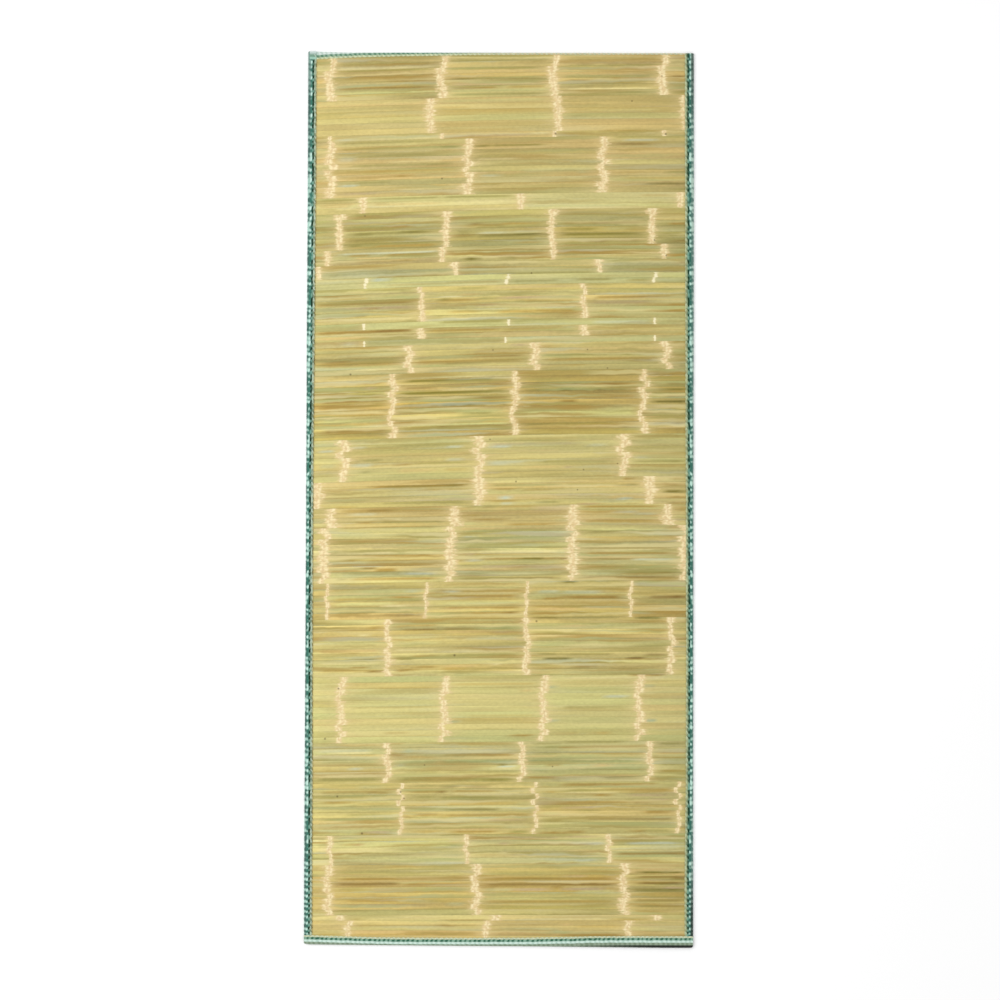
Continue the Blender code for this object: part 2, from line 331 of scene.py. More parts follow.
# The marks on the cane, by their colours. Each row holds the fields of a Mark.
MARKS = {
    Cane.LIGHT_GREEN: (
        (447, 550, 90.3, 3.5, 7), (335, 440, 92.3, 3, 7), (434, 553, 100, 6, 5), (470, 555, 115, 14, 3.5),
        (530, 672, 205.3, 3.5), (316, 336, 220, 5, 5), (662, 688, 276, 8, 5), (455, 510, 411, 14),
        (520, 640, 412, 30, 6.5), (648, 688, 412, 18, 4), (316, 388, 421.5, 9, 7), (398, 512, 424.3, 3, 9),
        (657, 688, 480, 6, 5), (460, 478, 523.5, 6), (578, 660, 529.5, 4, 5), (440, 524, 588, 3),
        (360, 440, 591, 6, 7), (530, 545, 595, 5), (440, 522, 603, 5, 7), (560, 628, 603, 4, 5),
        (335, 400, 604, 6, 7), (440, 520, 620, 5), (332, 384, 622, 5), (622, 640, 628, 5, 5),
        (316, 384, 642, 12), (390, 440, 643, 8, 4), (530, 562, 643, 6, 5), (316, 384, 658, 6),
        (448, 520, 674.5, 5, 7), (448, 540, 711, 5, 4), (540, 562, 813.5, 6, 5), (410, 440, 817.5, 3),
        (545, 562, 826, 8, 5), (575, 620, 891.3, 5), (485, 620, 897.5, 5, 4),
    ),
    Cane.GREY_GREEN: (
        (316, 326, 149.5, 6, 5), (520, 598, 170, 10, 4.5), (576, 598, 171.7, 5, 8), (412, 462, 174.8, 6),
        (316, 326, 178, 8, 5), (344, 445, 220.5, 14, 3.5), (605, 632, 228.5, 7, 4), (658, 686, 230, 6, 5),
        (560, 580, 327, 5), (330, 404, 355, 8), (316, 338, 466.5, 9), (440, 476, 497, 6, 5),
        (560, 612, 497, 6, 5), (323, 366, 500.5, 5, 5.5), (590, 640, 501.5, 3), (560, 571, 520, 10, 5),
        (330, 372, 534.5, 5, 7), (578, 620, 562, 5, 7), (480, 562, 562.3, 6), (415, 440, 563, 6),
        (328, 350, 565, 6, 5), (578, 620, 573, 6, 9), (455, 562, 573.5, 6, 9), (336, 400, 575.5, 7, 8),
        (390, 440, 637.5, 5, 5), (440, 520, 637.5, 5), (358, 384, 638.5, 3), (560, 668, 672, 5, 5),
        (350, 440, 697, 12, 3), (500, 512, 749, 4, 7), (560, 600, 780, 6, 7), (355, 384, 787, 7, 5),
        (368, 384, 798, 6), (560, 600, 799.3, 3, 8), (512, 530, 808.5, 6, 7), (370, 396, 809, 5),
        (655, 668, 817.3, 3, 8), (448, 500, 818, 4, 7), (500, 532, 827, 6, 5), (336, 366, 838),
        (447, 463, 839, 4, 7), (415, 440, 853, 8, 4), (560, 606, 853.5, 3, 7), (438, 463, 855.5, 6, 8),
        (345, 384, 868, 6, 4), (608, 618, 885, 5), (495, 511, 890, 6), (447, 466, 904, 8),
        (496, 560, 929, 3.5, 7), (550, 562, 931.5, 6, 8),
    ),
    Cane.BLUE_GREEN: (
        (620, 662, 139.9, 3, 5.5), (336, 360, 140, 4, 7), (336, 358, 159.5, 12, 3.5), (478, 502, 175.5),
        (336, 360, 186), (508, 549, 231.2, 3.5, 4.5), (476, 512, 232.7, 3.5, 5), (462, 482, 248.2, 5, 5),
        (335, 440, 253, 3), (368, 389, 280, 7, 8), (538, 580, 306.5, 4, 5.5), (590, 650, 321.8, 6, 4),
        (345, 362, 343.5, 8, 5), (585, 606, 445, 6, 3.5), (486, 512, 446.5, 5, 8), (443, 464, 446.7, 4, 6.5),
        (348, 365, 448, 5, 5), (316, 336, 451.5, 5), (632, 650, 457, 5, 5), (444, 464, 459.5, 6, 4),
        (486, 525, 462.3, 5, 4), (486, 508, 464, 4, 5), (348, 374, 465.5, 9, 5.5), (497, 512, 497.5, 8, 9),
        (618, 632, 498.5, 5, 8), (500, 514, 503.5, 5, 5), (616, 640, 511.7), (630, 660, 514, 6, 4),
        (347, 380, 514.5, 5, 3.5), (463, 474, 537.5, 5, 8), (472, 481, 543, 5, 9), (636, 656, 559),
        (655, 678, 559.3, 3, 7), (465, 476, 560.5, 4, 8), (350, 385, 565.7, 4, 8), (400, 440, 573.5, 4, 8),
        (403, 422, 591, 7, 4.5), (440, 462, 591.5, 5), (535, 562, 591.7, 6), (560, 605, 592, 6),
        (608, 624, 696.3, 5, 10), (316, 372, 751, 5, 4), (394, 404, 765, 6, 5), (496, 515, 766.5, 3, 7),
        (353, 364, 769, 5), (622, 686, 843, 5, 8), (540, 562, 843.5, 5, 5), (560, 607, 843.5, 6, 9),
        (575, 600, 860, 5, 5),
    ),
    Cane.GREEN: (
        (524, 562, 760.5, 7, 9), (560, 645, 760.5, 9, 8), (316, 382, 761.5, 10, 5), (440, 520, 761.5, 8, 9),
        (394, 440, 762, 8, 7), (527, 545, 770, 7), (655, 688, 778.3, 7, 9), (560, 572, 932.5, 5),
    ),
    Cane.TEAL: (
        (643, 653, 686, 6), (548, 560, 687, 6, 7), (643, 656, 720.5, 6, 9), (548, 560, 720.7, 4.5, 8),
        (448, 458, 721.7, 5, 8), (404, 416, 751, 10, 5), (448, 463, 845.5),
    ),
    Cane.PALE_STRAW: (
        (316, 425, 102, 12, 5), (585, 662, 109.8, 2.5), (560, 597, 179, 5, 5), (482, 548, 249, 5, 4),
        (628, 660, 257.5, 2.5, 8), (560, 614, 386.7, 2.5), (560, 618, 474, 6), (350, 395, 476, 8, 5),
        (486, 550, 481.5, 5), (316, 440, 675.5, 5, 5), (480, 530, 727, 5, 4), (560, 645, 749.7, 4, 7),
        (615, 672, 847.5, 5, 5), (612, 688, 860.3, 4, 4), (632, 660, 929.5, 4, 5),
    ),
    Cane.TAN: (
        (335, 440, 60, 4, 5), (590, 655, 68, 3, 5), (470, 545, 70.5, 2.5, 5), (319, 329, 146.5, 8, 8),
        (319, 329, 160, 14, 8), (330, 362, 174.7, 3, 7), (316, 328, 185, 10, 5), (370, 445, 204, 3, 5),
        (316, 358, 204.7, 3.5, 7), (316, 352, 207.3, 3, 7), (352, 390, 258.2, 3, 7), (460, 480, 294.5, 3, 7),
        (590, 655, 314.3, 5, 5), (518, 548, 316), (316, 372, 338.5, 4, 8), (352, 372, 404, 2.5, 7),
        (438, 454, 409.5, 6, 7), (649, 684, 427.3, 3.5, 7), (486, 560, 451, 4, 4), (345, 470, 455.5, 10, 4),
        (522, 562, 467, 4, 5), (395, 440, 470.5, 8, 5), (562, 640, 481, 5, 4), (560, 640, 490, 8, 4),
        (497, 512, 509.5, 5), (490, 560, 528, 5, 5), (456, 490, 528.8, 5, 7), (490, 562, 539.5, 4, 5),
        (655, 678, 540.5), (590, 620, 568.3), (455, 562, 569.5, 5), (580, 615, 607, 5, 9),
        (440, 458, 608.5, 5, 9), (332, 424, 609, 5), (530, 562, 609, 5, 9), (560, 580, 609, 5, 8),
        (560, 592, 626), (440, 520, 631.5, 4, 5), (316, 352, 637, 5, 5), (560, 667, 649, 5, 4),
        (316, 384, 651, 8, 7), (440, 480, 666), (640, 688, 689, 12, 3), (520, 536, 690.5),
        (640, 688, 714, 12, 3.5), (335, 386, 745, 5, 3.5), (595, 645, 756.3, 3, 7), (524, 562, 756.5, 4, 5),
        (592, 608, 765.3, 5, 9), (560, 645, 775.3, 4, 7.5), (448, 500, 829.3, 3, 7), (448, 463, 842),
        (560, 605, 850.5, 4, 4), (640, 672, 868.7, 3, 8), (672, 688, 874.3, 3, 8), (330, 475, 881, 2.5, 7),
        (482, 620, 881.3, 3, 5), (560, 572, 924.5, 5, 8), (632, 660, 925, 5, 5),
    ),
    Cane.GOLD: (
        (670, 688, 69.5, 5, 5), (434, 470, 107.5, 5, 5), (438, 520, 130, 6, 3.5), (600, 650, 130),
        (558, 575, 161.3, 3, 7), (360, 455, 170.3, 5), (318, 328, 172.5, 6, 5), (622, 688, 178, 4, 7),
        (395, 450, 186, 5, 4), (640, 674, 195), (350, 370, 248.5, 3, 7), (605, 658, 254.5, 6, 4),
        (334, 420, 261, 4, 7), (488, 597, 267.3, 5), (335, 370, 293.3, 3.5, 5), (330, 370, 299.3, 3, 5),
        (592, 620, 310.3, 5), (494, 580, 310.8, 5, 9), (445, 482, 311.7, 5, 7), (368, 430, 313.8, 4, 8),
        (668, 688, 333, 5, 7), (354, 370, 338.3, 4, 7), (316, 405, 348.7, 4, 5), (440, 505, 432, 6, 4),
        (316, 388, 436.5, 7, 3.5), (512, 580, 438, 4, 5), (440, 470, 469.5, 6, 5), (330, 366, 488.5, 5),
        (520, 562, 489.5, 5, 5), (414, 470, 490, 6), (335, 353, 507.5, 5), (577, 610, 510.5, 6, 5),
        (462, 480, 515.5, 5), (578, 590, 524, 5), (395, 420, 542.3, 5, 7), (500, 562, 542.3, 4, 5),
        (328, 335, 543.5, 6, 7), (453, 562, 554, 4.5, 8), (440, 524, 584, 4, 4), (344, 365, 586.5, 4, 7),
        (440, 524, 599), (366, 384, 628, 6, 9), (575, 592, 630, 5, 7), (636, 667, 631.5, 6, 8),
        (535, 562, 668, 5, 5), (440, 470, 668.5, 5, 9), (440, 520, 668.5, 4, 5), (316, 384, 671, 6, 5),
        (440, 520, 671), (448, 540, 684, 5, 5), (370, 440, 688, 4, 4), (465, 540, 716, 6, 3.5),
        (592, 608, 733, 5, 7), (560, 575, 733.5, 5, 5), (402, 440, 757, 5, 5), (352, 376, 772, 4, 5),
        (544, 562, 791.5, 4, 9), (541, 562, 803, 5, 5), (440, 520, 803.5, 6, 7), (406, 440, 804.5, 6, 7),
        (415, 440, 831.5), (334, 384, 865.3, 3.5, 8), (384, 470, 866, 6), (482, 620, 867.5, 5),
        (510, 520, 893.3, 3, 8), (560, 572, 893.3, 4, 8), (630, 688, 894.5, 5, 8), (610, 655, 919.5, 3, 8),
        (352, 480, 925.5, 3, 5), (572, 625, 926.5, 4, 5), (316, 480, 934.5, 3),
    ),
    Cane.KHAKI: (
        (316, 420, 108.8, 3), (370, 425, 121, 3), (445, 503, 282, 3.5, 9), (385, 452, 284.3, 3, 7),
        (438, 482, 418.5, 7, 5), (488, 560, 470, 6, 5), (405, 440, 497.3, 3), (328, 420, 550.8),
        (360, 440, 585, 5, 5), (440, 520, 646.5, 3), (560, 625, 675, 3, 7), (350, 440, 707.5, 3, 5),
        (655, 686, 725, 4, 5), (560, 645, 753, 4, 5), (472, 540, 845, 5, 7), (345, 440, 854.8, 4, 8),
        (316, 345, 922, 3),
    ),
    Cane.MAUVE: (
        (316, 326, 77, 8), (450, 548, 83.5, 7), (448, 530, 135.5, 3, 5), (340, 380, 193.5, 5, 5),
        (488, 548, 254.8, 4, 5), (490, 575, 286.7, 4, 4), (498, 578, 297, 5, 8), (590, 655, 302, 8, 5.5),
        (476, 500, 304.7, 4, 7), (316, 415, 308.5, 5, 7), (510, 530, 344.7, 5, 7), (470, 530, 350.5, 6, 3.5),
        (366, 378, 388.5, 6, 7), (655, 675, 406.5), (490, 580, 443.5, 5, 5), (562, 575, 467, 5, 5),
        (576, 598, 503.8, 3.5, 7), (560, 569, 507.5, 10, 8), (532, 562, 508.5, 12, 5.5),
        (592, 606, 553, 4, 8), (463, 475, 554.7, 5, 7), (480, 562, 566.5), (412, 440, 570, 6, 5),
        (336, 352, 570.5, 8, 5), (480, 515, 580.5, 4, 7), (495, 510, 632, 3, 7), (625, 672, 795, 5),
        (648, 672, 799.7, 3.5, 9), (560, 600, 807.5), (480, 530, 820, 6), (645, 672, 823.5, 5, 7),
        (416, 432, 826.7), (366, 394, 832, 4, 7), (560, 600, 836.5), (496, 562, 837.5, 6, 5),
        (496, 512, 843.5, 4, 7), (355, 366, 845, 4, 7), (320, 328, 855, 5, 7), (560, 590, 876.3, 4, 5),
        (495, 502, 878.5, 4, 7), (640, 672, 880, 3, 7), (660, 688, 887.7, 3, 8), (560, 605, 889, 4, 9),
        (510, 552, 889.5, 6, 8), (366, 415, 890, 10, 5.5),
    ),
    Cane.OLIVE: (
        (562, 657, 58.3, 3.5, 4.5), (450, 548, 61, 4, 5), (337, 440, 64, 3, 5), (558, 655, 65.5, 4.5, 7),
        (447, 545, 68, 3, 9), (335, 438, 70.3, 3, 8.5), (560, 657, 76.3, 5, 8), (470, 548, 77.5, 4, 7),
        (592, 656, 82, 8, 5), (575, 657, 92, 3.5, 9), (450, 552, 93.8, 3, 7.5), (335, 440, 96.3, 3, 7),
        (562, 590, 116, 4, 4.5), (608, 688, 137, 3.5, 7), (337, 435, 142.3, 3), (337, 462, 147.7, 4, 7.5),
        (350, 436, 155.3), (474, 515, 156, 4, 5), (350, 455, 164.8, 4, 6.5), (655, 688, 166.3),
        (668, 688, 172.2, 4, 8), (352, 392, 182.5, 3), (470, 505, 184, 4, 5), (670, 688, 189.3, 3, 8),
        (440, 516, 196.3, 3, 8), (365, 440, 198.3, 3, 7), (316, 360, 200.3, 3.5, 8),
        (344, 367, 215.6, 3.5, 8), (445, 548, 253, 4, 7), (668, 688, 255.5, 5, 8), (605, 688, 260.3, 4, 7),
        (604, 688, 267.5, 8, 5.5), (460, 486, 268.3, 4, 4.5), (498, 598, 272.6, 4, 6.5),
        (325, 452, 273.7, 6, 4), (575, 614, 279.2, 4, 9), (628, 652, 279.7, 3.5, 7), (505, 560, 280.7, 3),
        (452, 492, 288, 3.5), (362, 414, 290.3, 4, 8), (378, 415, 296, 4, 4), (560, 579, 296.5, 4, 8),
        (478, 495, 298.3, 4, 8), (560, 603, 319.5, 3, 7), (438, 509, 321.5, 3.5, 9), (543, 662, 354.2, 4, 9),
        (670, 688, 354.7, 4, 9), (316, 406, 360, 3, 8), (440, 475, 363.3), (465, 498, 386.5, 4, 8),
        (460, 494, 413.3, 4, 8), (630, 686, 436), (630, 650, 441.3, 4, 8), (395, 475, 444.5, 3),
        (358, 382, 460.3, 4, 7), (628, 688, 461, 5, 10), (535, 612, 461.3, 4, 7), (410, 472, 462.8, 4, 7),
        (357, 373, 472, 4, 8.5), (560, 618, 484, 4, 5), (487, 562, 484.8, 3, 8), (536, 562, 502, 3, 8),
        (382, 472, 502.5, 3), (460, 562, 532, 4, 5), (455, 485, 533.5, 5), (465, 480, 546.5, 5, 5),
        (672, 680, 555, 8, 7), (460, 480, 565.5, 6, 4), (455, 490, 573.5, 4, 4), (578, 625, 580.7),
        (668, 688, 584, 5, 8), (578, 625, 589, 3), (640, 688, 602, 4, 5), (560, 628, 613, 5, 5),
        (560, 620, 617.3), (560, 665, 621.5, 5, 4), (512, 521, 627, 8, 5), (530, 562, 638.5, 6, 5),
        (626, 668, 645.7, 3.5, 5), (440, 520, 655, 6, 6.5), (530, 562, 675, 3.5, 8), (528, 540, 700.5, 4, 7),
        (560, 632, 707, 5, 4.5), (560, 632, 742, 4, 7), (528, 562, 743.5, 4, 5), (655, 688, 743.5, 4, 7),
        (540, 562, 747, 4, 8), (524, 562, 753.5, 3), (655, 688, 763.5, 8, 9), (446, 520, 772, 5, 4.5),
        (400, 440, 772.5, 6, 4), (394, 440, 779, 7, 9), (440, 520, 779.3, 8, 10), (316, 384, 779.5, 6, 8),
        (410, 440, 786, 5, 5), (560, 600, 790.5, 3, 7), (316, 384, 796.5, 5, 5), (412, 440, 797, 5, 7),
        (440, 500, 797.3, 6, 9), (412, 440, 809.5, 4, 7), (575, 600, 810.5, 4, 5), (345, 390, 815),
        (316, 400, 819.5, 4, 8), (415, 440, 821, 4, 7), (642, 672, 830.5, 5), (505, 533, 831.8, 5, 9),
        (444, 470, 834.5, 3), (316, 330, 844.5, 5), (395, 440, 845, 4, 4), (336, 440, 872, 5, 4),
        (485, 620, 872.5, 7, 4), (336, 366, 889.5, 8, 4), (415, 470, 890, 8, 5), (484, 496, 890, 8, 9),
        (400, 448, 901, 6, 4), (336, 400, 907, 5, 4.5), (480, 620, 907, 8),
    ),
    Cane.BROWN: (
        (350, 362, 76, 5), (335, 437, 77, 12, 4.5), (385, 440, 80.5, 2.5, 7), (560, 592, 80.5, 4, 7),
        (668, 688, 81), (505, 548, 86.5), (450, 500, 87.5, 4, 8), (337, 437, 87.7, 5, 8),
        (558, 576, 93.7, 3, 8), (396, 409, 176, 3, 7), (557, 650, 222.5), (500, 550, 223, 4, 7),
        (666, 688, 223.5, 4.5, 9), (382, 418, 226.3, 5, 8.5), (515, 547, 242, 4, 5), (462, 476, 245.3, 3, 7),
        (372, 442, 245.5, 5, 7), (316, 333, 247.5, 4, 8), (560, 662, 251.3, 4, 5.5),
        (383, 436, 254.5, 3.5, 9), (346, 374, 255.7, 3.5, 9), (512, 550, 257, 4, 7),
        (375, 452, 275.8, 3, 4.5), (594, 688, 296.8, 5, 7.5), (438, 478, 299.8, 5, 8), (518, 578, 300.3, 5),
        (316, 414, 303.3, 5, 9.5), (668, 688, 304.3, 4, 7), (361, 382, 308.7, 4, 5), (535, 580, 310.2, 4, 5),
        (650, 688, 310.7, 5, 7), (316, 370, 316.3, 5, 7), (500, 560, 329, 4, 4.5), (424, 500, 330, 4, 7),
        (316, 414, 332, 5.5, 9), (543, 662, 358.7, 8, 7), (414, 530, 361, 9), (316, 406, 364.3, 10, 7),
        (316, 382, 383.7, 5, 9.5), (522, 640, 384, 4.5, 7.5), (488, 514, 384.7, 4, 9), (520, 640, 396.5, 10),
        (575, 640, 425.5, 5), (398, 510, 427, 4, 8), (395, 412, 464.5, 5, 5.5), (622, 632, 478.7, 4, 8),
        (670, 688, 478.7, 5, 5), (658, 688, 485, 7, 5), (366, 472, 486, 4.5, 9), (489, 520, 489, 3, 7),
        (668, 688, 497), (487, 520, 501, 3), (668, 688, 503), (488, 540, 506.3, 4, 5),
        (577, 665, 506.3, 4, 8.5), (672, 688, 509, 10, 7), (340, 472, 510, 6), (463, 505, 519.5, 4, 7),
        (672, 688, 520, 8, 5), (580, 664, 520.7, 5, 5), (355, 376, 522.7, 4, 7), (503, 562, 524.3, 4, 7),
        (672, 684, 527, 5, 8), (338, 440, 527.5, 4, 5.5), (665, 678, 537, 6, 8), (577, 676, 537.5, 4, 4),
        (345, 420, 540, 4, 5.5), (326, 345, 540.5, 5), (577, 676, 548, 3, 5), (457, 488, 549.3, 3, 7),
        (578, 672, 553, 4, 8), (328, 440, 555.7, 4, 7), (480, 562, 558.5, 3, 7), (577, 640, 558.5, 4, 7),
        (335, 362, 560.5, 5, 9), (362, 440, 560.5, 4, 5), (578, 680, 566.3, 4, 7), (373, 400, 570, 8, 9),
        (346, 440, 578.8, 5, 7.5), (440, 524, 596, 5, 10), (384, 424, 597, 5, 9), (560, 626, 597, 8, 9),
        (540, 562, 598.5, 4, 8), (330, 384, 599.5, 5), (440, 524, 607.5), (492, 518, 607.8, 4, 5),
        (345, 400, 608.5, 5, 5), (345, 372, 613, 3), (440, 524, 613, 5, 7), (530, 562, 613, 3),
        (383, 424, 615, 5, 7), (400, 440, 625.5, 3), (391, 400, 626.5, 6, 7), (440, 480, 628.8, 3),
        (402, 440, 629.7, 3, 8), (410, 440, 656.5, 7, 7), (574, 668, 659, 3), (570, 598, 666.5, 4, 7),
        (412, 440, 667, 3, 7), (345, 370, 667.7, 3, 7), (610, 645, 669, 5, 4), (396, 410, 670.5, 6, 9),
        (625, 668, 674.8, 4, 9), (380, 412, 733, 5, 4), (510, 536, 735.5, 4, 8), (390, 400, 743.7, 4, 8),
        (440, 515, 744, 3, 5), (575, 645, 746.5, 4, 5), (560, 575, 747, 4, 9), (656, 688, 753, 4, 9),
        (390, 402, 755, 5, 8), (440, 515, 755, 5, 7), (316, 382, 755.5, 4, 4), (545, 562, 765, 5, 5),
        (655, 688, 771, 5, 9), (675, 683, 774, 5, 9), (524, 562, 777.3, 4, 8), (560, 660, 784.5, 6, 7.5),
        (464, 490, 787), (600, 672, 789.5), (448, 500, 791), (406, 440, 791.7, 4, 8), (316, 384, 792, 4, 5),
        (366, 395, 792.5, 6, 5), (590, 612, 795, 4, 9), (560, 672, 802, 4, 7), (316, 355, 802.8, 5, 7),
        (355, 398, 804, 6, 4), (640, 672, 812, 6, 8), (412, 440, 814.5, 5, 8), (440, 530, 815),
        (545, 562, 820.5, 5), (316, 368, 827, 5, 4.5), (630, 642, 831, 4, 8), (448, 500, 831.7, 3, 8),
        (560, 588, 831.8, 4, 7), (545, 562, 832.5, 4, 7), (352, 368, 833.5, 6), (366, 394, 834),
        (668, 688, 835.8, 5, 9.5), (618, 670, 838, 6, 4), (338, 366, 844.7, 4, 5), (612, 688, 853.5, 5, 8),
        (475, 600, 855, 5, 4), (630, 688, 865.5, 5, 9), (542, 562, 867, 5, 5), (336, 475, 878.7, 4, 10),
        (482, 620, 878.7, 5, 9), (440, 475, 880, 4, 5), (560, 620, 883.7, 4, 8), (403, 475, 884.3, 4, 10),
        (555, 562, 887, 5, 8), (345, 400, 900.5, 6, 7), (480, 620, 901.5, 6, 7), (632, 688, 911, 6),
        (343, 366, 919.3, 4, 5), (440, 490, 920.3, 3), (440, 450, 926, 4, 8), (400, 480, 932.5, 6, 4.5),
        (490, 560, 934.5, 4, 4), (632, 688, 934.7, 4, 7), (560, 625, 935, 3, 9),
    ),
    Cane.DARK_BROWN: (
        (669, 688, 76.7, 4.5, 7.5), (670, 688, 91.8, 3, 7.5), (608, 655, 143.9, 4.5, 5),
        (592, 648, 222.6, 3.5, 5.5), (472, 481, 224.3, 5, 7), (478, 505, 225, 5, 5),
        (618, 648, 240.5, 4, 5.5), (672, 688, 241, 4, 8), (588, 612, 241.3), (672, 688, 262.5, 5),
        (662, 688, 271), (354, 370, 315.5, 4.5, 5.5), (372, 413, 330.8, 4.5), (414, 530, 356.5, 4, 5.5),
        (628, 658, 360.3), (668, 688, 360.3, 5, 8), (330, 347, 362.3, 5, 7), (568, 582, 383.7, 4.5),
        (600, 624, 384, 4.5, 4.5), (664, 688, 384.3, 5, 5), (400, 440, 388, 4, 4), (664, 688, 396.5, 4.5),
        (476, 513, 397.5, 5, 5), (400, 455, 399, 5, 5), (561, 578, 401, 5.5, 7), (316, 388, 401.3, 5.5, 6.5),
        (649, 688, 423.7, 4.5), (438, 452, 427, 4, 8), (316, 390, 431, 6, 7), (474, 479, 506.5, 4, 9),
        (481, 488, 506.7, 4, 9), (363, 397, 510.5, 5, 5.5), (560, 568, 558.5, 4, 8), (600, 632, 558.5, 4, 5),
        (356, 378, 568.5, 4, 8), (578, 686, 577.3, 5, 6.5), (456, 562, 578, 5, 5), (668, 688, 596.5, 5, 8),
        (645, 688, 597, 7), (500, 523, 612.7, 5, 5), (645, 668, 655), (625, 648, 658, 4, 7),
        (365, 390, 671.5, 4, 7), (440, 448, 791.7, 5, 8), (630, 672, 802.3, 4, 4), (580, 675, 819, 5, 5),
        (632, 688, 877, 4, 7.5), (672, 688, 878, 8, 9), (510, 560, 878.5, 4, 3.5), (630, 688, 883, 5, 8),
        (335, 403, 884, 6), (482, 620, 884.3, 4.5), (632, 688, 900.5, 5, 6.5),
    ),
    Cane.DARK_OLIVE: (
        (447, 476, 79), (485, 548, 145, 3.5, 6.5), (470, 490, 145.9, 4.5, 10), (438, 463, 146.8, 4, 7),
        (645, 688, 183.5, 3.5), (558, 600, 229, 6, 5.5), (632, 648, 229, 6, 4), (400, 426, 231.8, 4, 7),
        (345, 440, 232.8, 5, 5), (450, 477, 233.5, 18, 4), (560, 642, 234, 5, 8), (512, 549, 234.3, 5, 9.5),
        (656, 688, 234.3, 5), (352, 372, 234.6), (478, 520, 235.5, 4.5, 7), (572, 642, 238, 6, 3.5),
        (344, 440, 240, 14, 4), (478, 549, 240, 6, 3.5), (343, 362, 246), (500, 512, 258.3, 6),
        (469, 479, 258.7, 7, 9), (438, 450, 299.5, 5), (652, 688, 377.5, 4.5, 5),
        (398, 497, 380.2, 5.5, 8.5), (558, 575, 389, 5, 9.5), (522, 640, 389.3, 4, 5),
        (649, 688, 389.3, 4.5, 9), (398, 513, 392.3, 5.5, 9.5), (326, 384, 395.3), (326, 347, 396.2, 4, 7),
        (649, 688, 401.5, 4, 8), (668, 688, 401.5, 5), (436, 512, 403.8, 6.5, 9), (400, 440, 404.3, 4, 4),
        (316, 386, 406.5, 4.5, 6.5), (518, 640, 423.3, 3.5, 4.5), (618, 640, 484.7, 5),
        (440, 466, 485.3, 5, 7), (380, 440, 486.5, 3, 5), (660, 688, 491.3, 6, 10),
        (376, 448, 521.7, 3.5, 5), (577, 676, 532, 4, 5), (520, 545, 558.7, 4, 9), (655, 680, 561.7, 3),
        (625, 684, 572.3, 4, 7), (336, 346, 579.5, 3.5, 8), (560, 578, 581.7, 4, 10), (655, 688, 608.7, 3.5),
        (572, 578, 613, 4, 9), (316, 323, 616.5, 6), (530, 562, 617.7), (635, 665, 617.8, 4, 10),
        (495, 513, 628, 3, 7), (590, 667, 638.5, 3, 5), (530, 562, 654), (560, 613, 654, 4, 5),
        (393, 415, 658.5, 5, 9.5), (540, 562, 658.7, 4, 10), (560, 574, 658.7, 4, 9),
        (350, 384, 659.8, 3.5, 7), (498, 505, 764.5, 4, 10), (602, 645, 778, 7, 7), (480, 512, 780, 5, 4.5),
        (441, 462, 786.5, 5), (440, 500, 809.5, 5), (635, 688, 872.3, 4, 9), (650, 688, 884, 4, 5),
        (630, 688, 890, 5, 8.5), (632, 688, 906),
    ),
    Cane.CREAM: (
        (445, 562, 57.5, 2.5), (562, 657, 61.5, 3, 5), (335, 440, 67.5, 3.5, 7.5), (335, 415, 84, 3, 5),
        (562, 657, 88.5, 3, 6.5), (640, 664, 132.5), (528, 554, 133, 4.5, 7), (356, 440, 138.7, 3, 6.5),
        (375, 440, 151.5, 3, 5), (472, 520, 159, 3, 4.5), (385, 445, 161.3, 4, 5), (335, 360, 168.5, 3),
        (395, 445, 189.2, 3), (450, 515, 201, 8, 5), (370, 440, 206.3, 3, 5), (545, 648, 207.5, 3, 7),
        (335, 362, 208.8, 3, 8), (440, 515, 209.3, 2.5, 7), (612, 650, 219.3, 3, 5), (560, 605, 248, 4, 5),
        (445, 503, 284.8, 3, 5), (592, 668, 293.3, 4, 5), (438, 462, 296.8, 3, 7), (438, 508, 318.6, 3.5, 8),
        (316, 415, 319.8, 4, 5), (438, 532, 366.7, 3.5, 5), (352, 405, 369.3, 3), (398, 510, 377, 3),
        (316, 388, 380.7, 3, 7), (438, 495, 389.3, 3), (330, 388, 412.5, 6, 5), (316, 390, 427.3, 3, 8),
        (392, 400, 519, 4, 7), (355, 376, 519.5), (575, 676, 550, 4, 5), (455, 562, 551.5, 3.5, 8),
        (398, 448, 552, 3, 5), (330, 398, 553.3, 4, 9), (605, 620, 556.5), (440, 524, 593, 3, 5),
        (378, 410, 606, 3, 9), (355, 368, 635.5, 4, 7), (392, 440, 650, 4, 5), (440, 520, 650.8, 6, 5),
        (316, 384, 663.5, 5, 5), (487, 503, 664, 4, 8), (560, 668, 678, 5), (448, 545, 680, 5),
        (440, 515, 751.5, 4, 5), (330, 374, 753, 2.5, 7), (492, 518, 768.3, 3, 7), (576, 588, 768.3, 3, 7),
        (320, 382, 776.3, 3, 5), (560, 620, 792.5, 3, 5), (448, 520, 793.5, 3, 5), (325, 358, 821.8, 3, 7),
        (335, 465, 849.5, 6, 5.5), (316, 330, 850, 7, 8), (612, 688, 850.5, 3, 4), (495, 600, 852, 3),
        (335, 465, 863.5, 3, 5), (366, 440, 917.5, 3), (560, 610, 918.5, 4, 5),
    ),
}

